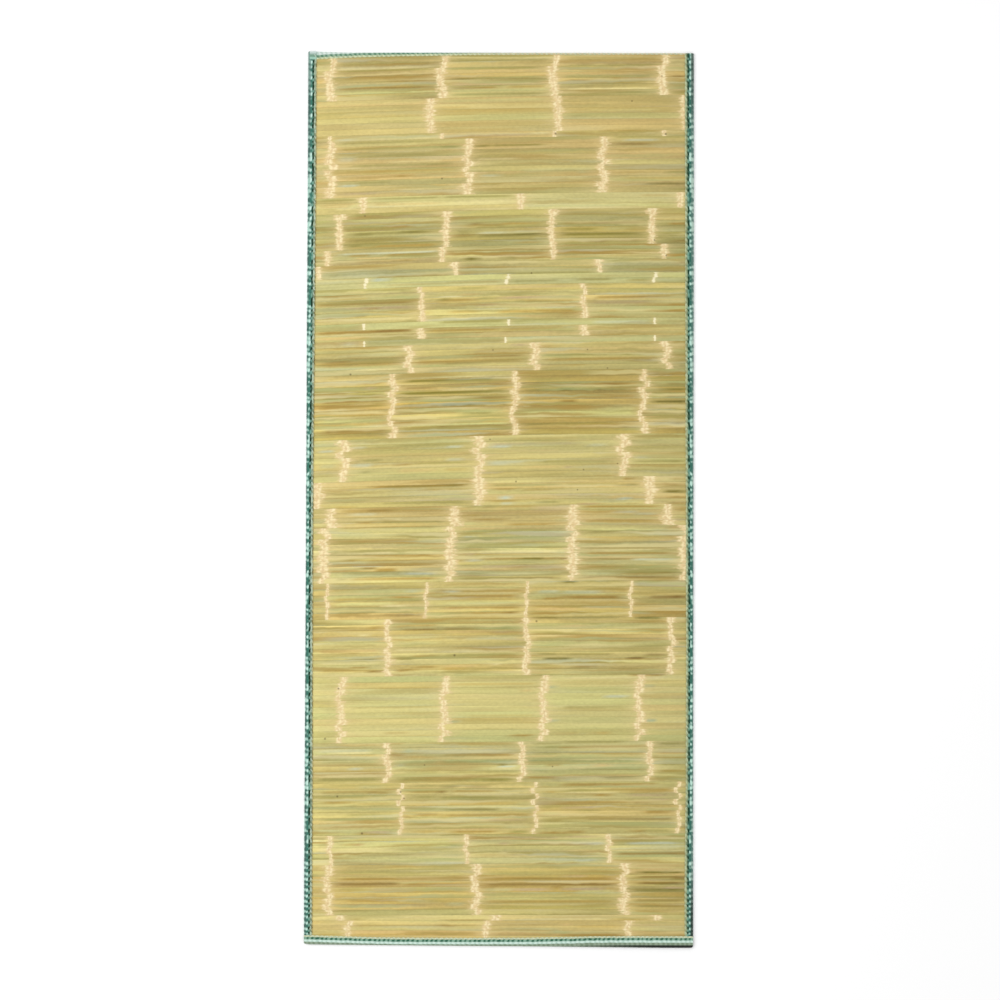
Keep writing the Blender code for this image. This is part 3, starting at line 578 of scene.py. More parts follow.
PINS = (
    Pin(632.0, 101.0, 1.8),
    Pin(662.0, 76.0, 1.4),
    Pin(555.5, 133.5, 2.2),
    Pin(665.7, 134.0, 2.2),
    Pin(442.0, 178.5, 2.0),
    Pin(365.0, 216.0, 1.6),
    Pin(654.4, 240.0, 1.9),
    Pin(666.2, 255.5, 1.9),
    Pin(531.5, 273.0, 1.8),
    Pin(587.5, 349.5, 1.4),
    Pin(493.0, 350.0, 1.6),
    Pin(607.5, 368.0, 1.5),
    Pin(350.5, 374.5, 2.2),
    Pin(490.0, 439.3, 1.6),
    Pin(617.5, 463.5, 1.4),
    Pin(583.5, 469.5, 1.5),
    Pin(516.0, 481.5, 1.9),
    Pin(577.5, 489.7, 1.5),
    Pin(536.5, 621.2, 2.2),
    Pin(454.5, 655.3, 2.4),
    Pin(338.5, 688.5, 2.0),
    Pin(325.0, 738.8, 2.2),
    Pin(424.5, 765.0, 1.5),
    Pin(552.5, 766.5, 1.5),
    Pin(400.5, 792.0, 1.9),
    Pin(337.3, 796.5, 2.1),
    Pin(404.0, 798.5, 1.9),
    Pin(362.0, 833.5, 2.4),
)

LEFT_ROWS = (
    EdgeRow(927.3, -376.8, -392.9),
    EdgeRow(925.6, -376.8, -394.2),
    EdgeRow(661.4, -378.0, -395.4),
    EdgeRow(330.3, -380.9, -397.5),
    EdgeRow(82.0, -383.3, -398.5),
    EdgeRow(-249.0, -385.0, -400.1),
    EdgeRow(-580.0, -385.2, -402.0),
    EdgeRow(-745.5, -385.8, -403.0),
    EdgeRow(-900.7, -386.3, -403.3),
)
RIGHT_ROWS = (
    EdgeRow(923.4, 384.6, 401.9),
    EdgeRow(921.8, 384.6, 403.1),
    EdgeRow(661.4, 385.0, 403.3),
    EdgeRow(330.3, 385.8, 402.9),
    EdgeRow(82.0, 386.4, 402.5),
    EdgeRow(-249.0, 387.1, 402.2),
    EdgeRow(-580.0, 386.6, 401.9),
    EdgeRow(-745.5, 384.6, 401.8),
    EdgeRow(-903.2, 384.0, 401.7),
)
TOP_ROWS = (
    EdgeRow(-376.7, 911.0, 926.9),
    EdgeRow(-349.0, 912.8, 926.0),
    EdgeRow(-318.0, 914.0, 925.0),
    EdgeRow(-287.0, 915.2, 924.9),
    EdgeRow(-245.0, 916.3, 924.8),
    EdgeRow(-204.0, 917.3, 924.8),
    EdgeRow(-121.0, 918.7, 924.7),
    EdgeRow(-59.0, 919.8, 924.6),
    EdgeRow(127.0, 920.8, 924.2),
    EdgeRow(384.5, 920.5, 923.5),
)
BOTTOM_ROWS = (
    EdgeRow(-403.3, -901.0, -916.0),
    EdgeRow(-402.4, -901.0, -918.4),
    EdgeRow(-394.9, -901.1, -920.0),
    EdgeRow(-328.0, -903.2, -920.9),
    EdgeRow(-262.0, -905.3, -921.5),
    EdgeRow(-196.0, -906.3, -922.0),
    EdgeRow(-76.0, -906.6, -923.1),
    EdgeRow(60.0, -906.4, -924.1),
    EdgeRow(135.0, -905.1, -924.9),
    EdgeRow(200.0, -903.5, -925.6),
    EdgeRow(267.0, -903.1, -926.4),
    EdgeRow(337.0, -903.4, -927.2),
    EdgeRow(397.6, -903.5, -927.3),
    EdgeRow(400.7, -903.5, -925.9),
    EdgeRow(401.7, -903.5, -923.0),
)


class Slope(NamedTuple):
    """A soft step: it goes from start, where a value is at low, to end, where it is at high."""

    low: float
    high: float
    start: float = 0.0
    end: float = 1.0


class Grain(NamedTuple):
    """One noise in the cane, drawn out along the fibres.

    Its length and width are in metres, and its depth is how far it moves what it is added to. Without a
    seed of its own, it differs from one length between nodes to the next.
    """

    length: float
    width: float
    detail: float
    depth: float = 0.0
    seed: float | None = None
    roughness: float = 0.55


class Streak(NamedTuple):
    """Long streaks of another colour in the cane: where their noise is taken, its cut, and their share."""

    shift: float
    low: float
    high: float
    share: float
    tint: Cane


class Graph:
    """Adds and links the nodes of one material."""

    def __init__(self, name: str) -> None:
        """Starts a material with one Principled BSDF.

        Args:
            name: the material's name.
        """
        self.material = bpy.data.materials.new(name)
        self.material.use_nodes = True
        self.tree = self.material.node_tree
        self.shader = self.tree.nodes["Principled BSDF"]

    def feed(self, socket: Socket, value: Value | tuple) -> None:
        """Fills a socket.

        Args:
            socket: the socket.
            value: another socket, which is linked to it, or its own value.
        """
        if isinstance(value, bpy.types.NodeSocket):
            self.tree.links.new(value, socket)
        else:
            socket.default_value = value

    def add(
        self, kind: str, inputs: dict[str | int, Value | tuple] | None = None, **settings: object
    ) -> bpy.types.Node:
        """Adds a node.

        Args:
            kind: Blender's name for the type of node, without "ShaderNode".
            inputs: what goes into its sockets, by their names or places: another socket, or a value.
            settings: the node's own properties.

        Returns:
            The node.
        """
        node = self.tree.nodes.new("ShaderNode" + kind)
        for key, value in settings.items():
            setattr(node, key, value)
        for key, value in (inputs or {}).items():
            self.feed(node.inputs[key], value)
        return node

    def math(self, operation: str, first: Value, second: Value = 0.0) -> Socket:
        """The result of a Math node with this operation on one or two values."""
        return self.add("Math", {0: first, 1: second}, operation=operation).outputs[0]

    def plus(self, first: Value, second: Value) -> Socket:
        """The sum of two values."""
        return self.math("ADD", first, second)

    def minus(self, first: Value, second: Value) -> Socket:
        """The first value less the second."""
        return self.math("SUBTRACT", first, second)

    def times(self, first: Value, second: Value) -> Socket:
        """The product of two values."""
        return self.math("MULTIPLY", first, second)

    def over(self, first: Value, second: Value) -> Socket:
        """The first value divided by the second."""
        return self.math("DIVIDE", first, second)

    def swing(self, noise: Socket, depth: Value) -> Socket:
        """A noise's change to and fro about its middle, this deep between its 0 and its 1."""
        return self.times(self.minus(noise, 0.5), depth)

    def ripple(self, place: Socket, period: float) -> Socket:
        """A sine wave that repeats once in each period."""
        return self.math("SINE", self.times(place, 2.0 * math.pi / period))

    def step(self, value: Value, low: Value, high: Value, start: float = 0.0, end: float = 1.0) -> Socket:
        """A soft step, from start where the value is at low to end where it is at high."""
        sides = {"Value": value, "From Min": low, "From Max": high, "To Min": start, "To Max": end}
        return self.add("MapRange", sides, interpolation_type="SMOOTHSTEP").outputs[0]

    def blend(self, share: Value, first: Value | Colour, second: Value | Colour) -> Socket:
        """Lays a share of the second colour over the first."""
        sides = {0: share, 6: first, 7: second}
        return self.add("Mix", sides, data_type="RGBA", blend_type="MIX").outputs[2]

    def scaled(self, vector: Socket, factor: Value) -> Socket:
        """A colour or a vector, multiplied by a factor."""
        return self.add("VectorMath", {0: vector, "Scale": factor}, operation="SCALE").outputs[0]

    def vector(self, x: Value, y: Value, z: Value = 0.0) -> Socket:
        """A vector of three values."""
        return self.add("CombineXYZ", {0: x, 1: y, 2: z}).outputs[0]

    def noise(self, place: Socket, seed: Value = 0.0, detail: float = 1.5, roughness: float = 0.55) -> Socket:
        """Four-dimensional noise at scale 1, with an average of about a half.

        Args:
            place: where it is taken, in units of the noise's own grain.
            seed: another seed gives another pattern.
            detail: how many finer layers it has.
            roughness: how strong they are.

        Returns:
            The noise's value.
        """
        inputs = {"Vector": place, "W": seed, "Scale": 1.0, "Detail": detail, "Roughness": roughness}
        return self.add("TexNoise", inputs, noise_dimensions="4D").outputs[0]

    def attribute(self, name: str, colour: bool = False) -> Socket:
        """The value, or the colour, of a named attribute of the mesh."""
        node = self.add("Attribute", attribute_name=name, attribute_type="GEOMETRY")
        return node.outputs["Color" if colour else "Fac"]

    def place(self) -> Socket:
        """Where a point lies on its object, in metres."""
        return self.add("TexCoord").outputs["Object"]

    def surface(self, name: str) -> tuple[Socket, Socket]:
        """Reads a UV map of the piece.

        Args:
            name: the map's name.

        Returns:
            Its two coordinates, in metres along and across the piece.
        """
        uv = self.add("UVMap", uv_map=name).outputs[0]
        parts = self.add("SeparateXYZ", {0: uv})
        return parts.outputs[0], parts.outputs[1]

    def set(self, **sockets: Value | Colour) -> None:
        """Fills the shader's sockets, with _ for each space in a socket's name."""
        for name, value in sockets.items():
            self.feed(self.shader.inputs[name.replace("_", " ")], value)

    def bump(self, height: Socket, distance: float, strength: float) -> None:
        """Raises the surface's grain.

        Args:
            height: the relief, from 0 to 1.
            distance: how high 1 stands, in metres.
            strength: how much of it shows.
        """
        sides = {"Height": height, "Distance": distance, "Strength": strength}
        self.set(Normal=self.add("Bump", sides).outputs[0])


STREAKS = (
    Streak(11.0, 0.52, 0.72, 0.60, Cane.BROWN),
    Streak(23.0, 0.52, 0.72, 0.54, Cane.OLIVE),
    Streak(37.0, 0.56, 0.76, 0.34, Cane.BLUE_GREEN),
    Streak(51.0, 0.54, 0.74, 0.48, Cane.CREAM),
    Streak(67.0, 0.56, 0.74, 0.46, Cane.GREEN),
)


@dataclass(frozen=True)
class CaneFinish:
    """Split bamboo: a satin skin with lines along its fibres, shaved pale at each node."""

    name: str = "split cane"
    wobble: Grain = Grain(0.036, 0.020, 1.0, 0.008, 29.0)
    lines: Grain = Grain(0.34, 0.0112, 0.4, 0.92)
    hairs: Grain = Grain(0.10, 0.0034, 1.5, 0.045)
    fibres: Grain = Grain(0.011, 0.00028, 1.0, 0.05, 3.0)
    wash: Grain = Grain(0.16, 0.03, 1.0, 0.22)
    flecks: Grain = Grain(0.0085, 0.0042, 0.8, 0.30, 13.0)
    streak: Grain = Grain(0.24, 0.0100, 0.5)
    streaks: tuple[Streak, ...] = STREAKS
    frays: Grain = Grain(0.0115, 0.0042, 1.0, 4.6, 5.0, 0.5)
    cut_edge: Slope = Slope(0.25, 2.05, 0.90, 0.0)
    spots: Grain = Grain(0.0075, 0.0062, 0.5, seed=7.0)
    spot_edge: Slope = Slope(0.36, 0.60)
    spot_column: float = 0.65
    column_edge: Slope = Slope(0.20, 1.00, 1.0, 0.0)
    dents: Grain = Grain(0.0060, 0.0050, 0.5, seed=19.0)
    dent_edge: Slope = Slope(0.44, 0.62)
    dent_column: Slope = Slope(0.0, 0.60, 0.65, 0.0)
    whitening: Slope = Slope(0.6, 1.0, 0.0, 0.85)
    fingers: Grain = Grain(0.030, 0.0030, 1.0)
    finger_edge: Slope = Slope(0.25, 0.75, 0.15, 0.90)
    halo_fall: float = -0.40
    # Painted shade: the heights over which the cane is darkened low on the slats' sides, in the grooves
    # between them.
    painted_shade_heights: Slope = Slope(0.0016, 0.0029, 0.30, 0.0)
    underside_edge: Slope = Slope(0.00134, 0.0015, 0.9, 0.0)
    pin_core: float = 0.4
    pin_rim: float = 1.5
    pin_depth: float = 0.62
    rough: float = 0.34
    fibre_rough: float = 0.22
    node_rough: float = 0.16
    node_flat: float = 0.35
    node_cream: str = "#E9CF9C"
    node_light: str = "#FDEBBB"
    node_white: str = "#FCF4CC"
    node_dot: str = "#D9BE90"
    halo: str = "#E6CE95"
    underside: str = "#D9CB9C"
    # The painted shade's colour in the grooves between slats.
    painted_groove_shade: str = "#9A8A52"
    pin_tint: str = "#5C4C2C"
    pins: tuple[Pin, ...] = PINS

    def pattern(self, graph: Graph, u: Socket, v: Socket, grain: Grain, cane: Socket) -> Socket:
        """One noise, drawn out along the fibres.

        Args:
            graph: the material's nodes.
            u: metres along the slat.
            v: metres across it.
            grain: the noise's size and make-up.
            cane: the seed, where the grain has none of its own.

        Returns:
            The noise's value.
        """
        place = graph.vector(graph.over(u, grain.length), graph.over(v, grain.width))
        seed = cane if grain.seed is None else grain.seed
        return graph.noise(place, seed, grain.detail, grain.roughness)

    def skin(self, graph: Graph, u: Socket, v: Socket, cane: Socket) -> tuple[Socket, Socket]:
        """The cane's skin between its nodes.

        Args:
            graph: the material's nodes.
            u: metres along the slat.
            v: metres across it.
            cane: a seed that differs from one length between nodes to the next.

        Returns:
            Its colour, and the height of its fibres.
        """
        lined = graph.attribute("lined")
        wobble = self.pattern(graph, u, v, self.wobble, cane)
        v = graph.plus(v, graph.swing(wobble, self.wobble.depth))
        lines = self.pattern(graph, u, v, self.lines, cane)
        hairs = self.pattern(graph, u, v, self.hairs, cane)
        fibres = self.pattern(graph, u, v, self.fibres, cane)
        wash = self.pattern(graph, u, v, self.wash, cane)
        flecks = self.pattern(graph, u, v, self.flecks, cane)
        light = graph.swing(lines, graph.times(lined, self.lines.depth))
        layers = ((hairs, self.hairs), (fibres, self.fibres), (wash, self.wash), (flecks, self.flecks))
        for noise, grain in layers:
            light = graph.plus(light, graph.swing(noise, grain.depth))
        colour = graph.scaled(graph.attribute("tint", colour=True), graph.plus(light, 1.0))
        for streak in self.streaks:
            spread = self.pattern(graph, u, v, self.streak, graph.plus(cane, streak.shift))
            share = graph.times(lined, streak.share)
            amount = graph.times(graph.step(spread, streak.low, streak.high), share)
            colour = graph.blend(amount, colour, painted(streak.tint.value))
        return colour, fibres

    def node_cut(self, graph: Graph, u: Socket, v: Socket, cane: Socket) -> tuple[Socket, Socket]:
        """The pale place where a node was shaved flat.

        Args:
            graph: the material's nodes.
            u: metres along the slat.
            v: metres across it.
            cane: a seed that differs from one length between nodes to the next.

        Returns:
            How much of it shows, and its colour.
        """
        frays = self.pattern(graph, u, v, self.frays, cane)
        frayed = graph.plus(graph.attribute("reach"), graph.swing(frays, self.frays.depth))
        shown = graph.step(frayed, *self.cut_edge)
        aside = graph.math("ABSOLUTE", graph.attribute("side"))
        column = graph.step(graph.math("ABSOLUTE", graph.minus(aside, self.spot_column)), *self.column_edge)
        spots = graph.step(self.pattern(graph, u, v, self.spots, cane), *self.spot_edge)
        colour = graph.blend(graph.times(column, spots), painted(self.node_cream), painted(self.node_light))
        dents = graph.step(self.pattern(graph, u, v, self.dents, cane), *self.dent_edge)
        dented = graph.times(graph.step(aside, *self.dent_column), dents)
        colour = graph.blend(dented, colour, painted(self.node_dot))
        whiter = graph.step(graph.attribute("pale"), *self.whitening)
        return shown, graph.blend(whiter, colour, painted(self.node_white))

    def pricked(self, graph: Graph, colour: Socket) -> Socket:
        """Lays the dark pin-pricks over the cane.

        Args:
            graph: the material's nodes.
            colour: the cane's colour.

        Returns:
            The colour with the pin-pricks.
        """
        level = {0: graph.place(), 1: (1.0, 1.0, 0.0)}
        flat = graph.add("VectorMath", level, operation="MULTIPLY").outputs[0]
        for pin in self.pins:
            spot = (photo_x(pin.across) * MM, photo_y(pin.down) * MM, 0.0)
            away = graph.add("VectorMath", {0: flat, 1: spot}, operation="DISTANCE").outputs["Value"]
            core, rim = self.pin_core * pin.radius * MM, self.pin_rim * pin.radius * MM
            amount = graph.step(away, core, rim, self.pin_depth, 0.0)
            colour = graph.blend(amount, colour, painted(self.pin_tint))
        return colour

    def material(self) -> bpy.types.Material:
        """Makes the material.

        Returns:
            The finished material, which reads the slats' own map and attributes.
        """
        graph = Graph(self.name)
        u, v = graph.surface("slat")
        cane = graph.attribute("cane")
        colour, fibres = self.skin(graph, u, v, cane)
        shown, node_colour = self.node_cut(graph, u, v, cane)
        fading = graph.math("EXPONENT", graph.times(graph.attribute("reach"), self.halo_fall))
        fingers = graph.step(self.pattern(graph, u, v, self.fingers, cane), *self.finger_edge)
        colour = graph.blend(graph.times(fading, fingers), colour, painted(self.halo))
        colour = graph.blend(shown, colour, node_colour)
        height = graph.add("SeparateXYZ", {0: graph.place()}).outputs[2]
        # Painted shade darkens the cane low on the slats' sides, in the grooves between them.
        colour = graph.blend(graph.step(height, *self.painted_shade_heights), colour, painted(self.painted_groove_shade))
        colour = graph.blend(graph.step(height, *self.underside_edge), colour, painted(self.underside))
        rough = graph.plus(graph.times(fibres, self.fibre_rough), self.rough)
        rough = graph.plus(rough, graph.times(shown, self.node_rough))
        graph.set(Base_Color=self.pricked(graph, colour), Roughness=rough, Specular_IOR_Level=0.35)
        relief = graph.minus(fibres, graph.times(shown, self.node_flat))
        graph.bump(relief, distance=0.00012, strength=0.6)
        return graph.material


class TapeStainAndShade(NamedTuple):
    """A place where the tape's colour changes: a stain, and also painted shade on an outer fold.

    It grows from low to high along the tape and from near to far across it. Across it, the distance is
    from the tape's inner edge, and the patch shrinks outwards where far is less than near.
    """

    low: float
    high: float
    near: float
    far: float
    tint: str
    strength: float


class TapeRow(NamedTuple):
    """One lengthwise row of the tape's weave, seen from its inner edge: where it lies and its two colours."""

    starts: float
    ends: float
    dark: str
    light: str
    phase: float
    slant: float
    share: float


@dataclass(frozen=True)
class TapeFinish:
    """Woven green tape: rows of dark and mint floats that repeat along it, over fine ribs.

    The weave is more even below one place along the tape. Its rows, ribs, picks and places are measured
    in millimetres, and the grain of each noise and the softness of an edge in metres.
    """

    name: str
    period: float
    rows: tuple[TapeRow, ...]
    stains: tuple[TapeStainAndShade, ...] = ()
    wander: float = 0.4
    even_below: float = -1000.0
    ground: str = "#7E9587"
    rib: float = 0.60
    pick: float = 0.85
    even_blend: float = 0.04
    regular: float = 0.75
    regular_gain: float = 0.45
    flank: float = 0.5
    wear: float = 8.0
    wear_loss: float = 4.0
    wear_length: float = 0.0135
    wear_width: float = 0.0090
    wear_slant: float = 0.6
    cut: float = 0.7
    cut_gain: float = 2.0
    cut_edge: float = 1.15
    hand_length: float = 0.030
    hand_depth: float = 1.1
    wave_length: float = 0.016
    wave_depth: float = 9.0
    lean_depth: float = 0.6
    row_edge: float = 0.0005
    fuzz_length: float = 0.0006
    fuzz_width: float = 0.0004
    fuzz_depth: float = 0.6
    weave_depth: float = 0.32
    # Painted light and shade on the weave: the colour's level in its hollows, and how much lighter its raised
    # ribs and fuzz are.
    painted_relief_shade: float = 0.90
    painted_relief_gain: float = 0.26

    def floats(self, graph: Graph, u: Socket, v: Socket, row: TapeRow) -> Socket:
        """The colour of one row of floats.

        Args:
            graph: the material's nodes.
            u: metres along the tape, in whole picks.
            v: metres from its inner edge, in whole ribs.
            row: the row.

        Returns:
            Its colour.
        """
        turn = 2.0 * math.pi / (self.period * MM)
        place = graph.plus(graph.times(u, turn), graph.times(v, turn * row.slant))
        wave = graph.math("COSINE", graph.plus(place, 2.0 * math.pi * row.phase))
        centre = 0.5 * (row.starts + row.ends) * MM
        half = 0.5 * (row.ends - row.starts) * MM
        aside = graph.over(graph.math("ABSOLUTE", graph.minus(v, centre)), half)
        border = self.even_below * MM
        even = graph.step(u, border - self.even_blend, border + self.even_blend, 1.0, 0.0)
        regular = graph.plus(graph.times(even, self.regular_gain), self.regular)
        lozenge = graph.minus(graph.times(wave, regular), graph.times(aside, self.flank))
        slanted = graph.plus(u, graph.times(v, self.wear_slant))
        grain = graph.vector(graph.over(slanted, self.wear_length), graph.over(v, self.wear_width))
        worn = graph.noise(grain, 2.0 * row.phase, detail=0.5)
        wear = graph.minus(self.wear, graph.times(even, self.wear_loss))
        lozenge = graph.plus(lozenge, graph.swing(worn, wear))
        middle = self.cut - self.cut_gain * row.share
        light = graph.step(lozenge, middle - self.cut_edge, middle + self.cut_edge)
        return graph.blend(light, painted(row.dark), painted(row.light))

    def material(self) -> bpy.types.Material:
        """Makes the material.

        Returns:
            The finished material, which reads the tape's own map.
        """
        graph = Graph(self.name)
        u, v = graph.surface("tape")
        hand = graph.noise(graph.vector(graph.over(u, self.hand_length), 0.0), seed=4.0, detail=1.0)
        reached = graph.plus(u, graph.swing(hand, self.hand_depth * self.period * MM))
        lean = graph.times(graph.ripple(reached, self.period * MM), self.lean_depth)
        wave = graph.noise(graph.vector(graph.over(u, self.wave_length), 0.0), seed=9.0, detail=1.0)
        lean = graph.plus(lean, graph.swing(wave, self.wave_depth))
        woven = graph.plus(v, graph.times(lean, self.wander * MM))
        snapped_u = graph.math("SNAP", reached, self.pick * MM)
        snapped_v = graph.math("SNAP", woven, self.rib * MM)
        colour = painted(self.ground)
        for row in self.rows:
            starts, ends = row.starts * MM, row.ends * MM
            inside = graph.step(woven, starts - self.row_edge, starts + self.row_edge)
            outside = graph.step(woven, ends - self.row_edge, ends + self.row_edge, 1.0, 0.0)
            floats = self.floats(graph, snapped_u, snapped_v, row)
            colour = graph.blend(graph.times(inside, outside), colour, floats)
        # Stains on the tape, and painted shade on the outer folds of the right and bottom tapes.
        for stain in self.stains:
            along = graph.step(u, stain.low * MM, stain.high * MM)
            if stain.far < stain.near:
                across = graph.step(v, stain.far * MM, stain.near * MM, 1.0, 0.0)
            else:
                across = graph.step(v, stain.near * MM, stain.far * MM)
            amount = graph.times(graph.times(along, across), stain.strength)
            colour = graph.blend(amount, colour, painted(stain.tint))
        weave = graph.times(graph.ripple(v, self.rib * MM), graph.ripple(u, self.pick * MM))
        fuzz = graph.noise(graph.vector(graph.over(u, self.fuzz_length), graph.over(v, self.fuzz_width)))
        relief = graph.plus(graph.times(weave, self.weave_depth), graph.times(fuzz, self.fuzz_depth))
        # Painted light and shade: lighter where the weave and its fuzz stand up, darker in its hollows.
        colour = graph.scaled(colour, graph.plus(graph.times(relief, self.painted_relief_gain), self.painted_relief_shade))
        graph.set(Base_Color=colour, Roughness=0.88, Specular_IOR_Level=0.2, Sheen_Weight=0.15)
        graph.bump(relief, distance=0.00018, strength=0.8)
        return graph.material


@dataclass(frozen=True)
class ThreadFinish:
    """Pale twisted sewing thread, with painted shade between its plies."""

    name: str
    thread: str
    # The darker tint: painted shade between the plies, and the colour of the dull patches.
    shade_and_dull_tint: str
    twist_along: float = 12.6
    twist_across: float = 44.0
    # Patches where whole stitches take the darker tint.
    dull_patch_scale: float = 60.0
    dull_patch_edge: Slope = Slope(0.44, 0.58, 0.0, 0.85)

    def material(self) -> bpy.types.Material:
        """Makes the material.

        Returns:
            The finished material, which reads the stitches' own map.
        """
        graph = Graph(self.name)
        u, v = graph.surface("thread")
        twist = graph.plus(graph.times(u, self.twist_along), graph.times(v, self.twist_across))
        ply = graph.plus(graph.times(graph.math("SINE", twist), 0.5), 0.5)
        dull_patches = graph.noise(graph.scaled(graph.place(), self.dull_patch_scale), seed=2.0, detail=2.0)
        # Painted shade: the thread darkens in the grooves between its twisted plies.
        colour = graph.blend(ply, painted(self.shade_and_dull_tint), painted(self.thread))
        # Whole stitches turn, in patches, to the same darker tint.
        colour = graph.blend(graph.step(dull_patches, *self.dull_patch_edge), colour, painted(self.shade_and_dull_tint))
        graph.set(Base_Color=colour, Roughness=0.8, Specular_IOR_Level=0.25, Sheen_Weight=0.1)
        graph.bump(ply, distance=0.0001, strength=0.6)
        return graph.material


@dataclass(frozen=True)
class FloorFinish:
    """A plain, pale studio floor."""

    name: str = "studio floor"
    tone: float = 0.93
    mottle: float = 0.004

    def material(self) -> bpy.types.Material:
        """Makes the material.

        Returns:
            The finished material.
        """
        graph = Graph(self.name)
        cloud = graph.noise(graph.place(), seed=1.0, detail=2.0)
        level = graph.step(cloud, 0.3, 0.7, self.tone - self.mottle, self.tone + self.mottle)
        tone = graph.add("CombineColor", {0: level, 1: level, 2: level}).outputs[0]
        graph.set(Base_Color=tone, Roughness=0.95, Specular_IOR_Level=0.0)
        return graph.material


def deselect_all() -> None:
    """Leaves edit mode and clears the selection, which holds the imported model's nodes at first."""
    if bpy.context.object and bpy.context.object.mode != "OBJECT":
        bpy.ops.object.mode_set(mode="OBJECT")
    bpy.ops.object.select_all(action="DESELECT")


def select_only(piece: bpy.types.Object) -> None:
    """Selects one object alone, and makes it the active one.

    Args:
        piece: the object.
    """
    deselect_all()
    piece.select_set(True)
    bpy.context.view_layer.objects.active = piece


def select_parts(piece: bpy.types.Object, kind: str, wanted: Callable[[Part], bool]) -> None:
    """Selects parts of a mesh that is in edit mode.

    Args:
        piece: the object being edited.
        kind: VERT, EDGE or FACE.
        wanted: says of each such part whether it is selected.
    """
    bpy.ops.mesh.select_mode(type=kind)
    bpy.ops.mesh.select_all(action="DESELECT")
    shape = bmesh.from_edit_mesh(piece.data)
    for part in {"VERT": shape.verts, "EDGE": shape.edges, "FACE": shape.faces}[kind]:
        part.select_set(wanted(part))
    bmesh.update_edit_mesh(piece.data)


def reach_of(edge: bmesh.types.BMEdge, axis: int) -> float:
    """How far an edge of a mesh reaches along one axis."""
    first, second = edge.verts
    return abs(first.co[axis] - second.co[axis])


def place_object(name: str, data: bpy.types.ID) -> bpy.types.Object:
    """Puts a new object into the scene.

    Args:
        name: its name.
        data: its mesh, lamp or camera.

    Returns:
        The object.
    """
    placed = bpy.data.objects.new(name, data)
    bpy.context.scene.collection.objects.link(placed)
    return placed


def join_pieces(pieces: Sequence[bpy.types.Object], name: str) -> bpy.types.Object:
    """Joins objects into the first of them.

    Args:
        pieces: the objects.
        name: the name of the joined one.

    Returns:
        The joined object.
    """
    deselect_all()
    for piece in pieces:
        piece.select_set(True)
    bpy.context.view_layer.objects.active = pieces[0]
    bpy.ops.object.join()
    joined = bpy.context.view_layer.objects.active
    joined.name = name
    joined.data.name = name
    return joined


def vertex_places(mesh: bpy.types.Mesh) -> np.ndarray:
    """Reads where a mesh's vertices are.

    Args:
        mesh: the mesh.

    Returns:
        A row of three coordinates for each vertex.
    """
    places = np.empty(3 * len(mesh.vertices), dtype=np.float32)
    mesh.vertices.foreach_get("co", places)
    return places.reshape(-1, 3).astype(float)


def move_vertices(mesh: bpy.types.Mesh, x: np.ndarray, y: np.ndarray, z: np.ndarray) -> None:
    """Moves a mesh's vertices to these places, in metres."""
    mesh.vertices.foreach_set("co", np.stack([x, y, z], axis=1).astype(np.float32).ravel())


def point_values(mesh: bpy.types.Mesh, name: str, values: np.ndarray) -> None:
    """Stores one number for each vertex of a mesh as a named attribute."""
    attribute = mesh.attributes.new(name, "FLOAT", "POINT")
    attribute.data.foreach_set("value", np.ascontiguousarray(values, dtype=np.float32))


def point_colours(mesh: bpy.types.Mesh, name: str, colours: np.ndarray) -> None:
    """Stores one colour for each vertex of a mesh as a named attribute."""
    attribute = mesh.attributes.new(name, "FLOAT_COLOR", "POINT")
    attribute.data.foreach_set("color", np.ascontiguousarray(colours, dtype=np.float32).ravel())


def flat_map(mesh: bpy.types.Mesh, name: str, along: np.ndarray, across: np.ndarray) -> None:
    """Gives a mesh a UV map, and removes any other.

    Args:
        mesh: the mesh.
        name: the map's name.
        along: the first coordinate of each vertex, in metres.
        across: the second one.
    """
    while mesh.uv_layers:
        mesh.uv_layers.remove(mesh.uv_layers[0])
    corners = np.empty(len(mesh.loops), dtype=np.int32)
    mesh.loops.foreach_get("vertex_index", corners)
    places = np.stack([along[corners], across[corners]], axis=1).astype(np.float32)
    mesh.uv_layers.new(name=name).data.foreach_set("uv", places.ravel())


class Groove(NamedTuple):
    """A line between two slats: its height at the right, and how far it droops at the left."""

    right: float
    bow: float
    tilt: float = 0.0

    def height(self, x: np.ndarray | float) -> np.ndarray | float:
        """Y of the line at X, in millimetres."""
        reach = (BOW_STARTS_X - x) / (BOW_STARTS_X - BOW_FULL_X)
        return self.right - self.tilt * reach - self.bow * reach**2


class Course(NamedTuple):
    """Where one slat lies, what cane it was split from, and X of its nodes and of its neighbours' nodes."""

    order: int
    upper: Groove
    lower: Groove
    band: Band
    nodes: np.ndarray
    nodes_above: np.ndarray
    nodes_below: np.ndarray


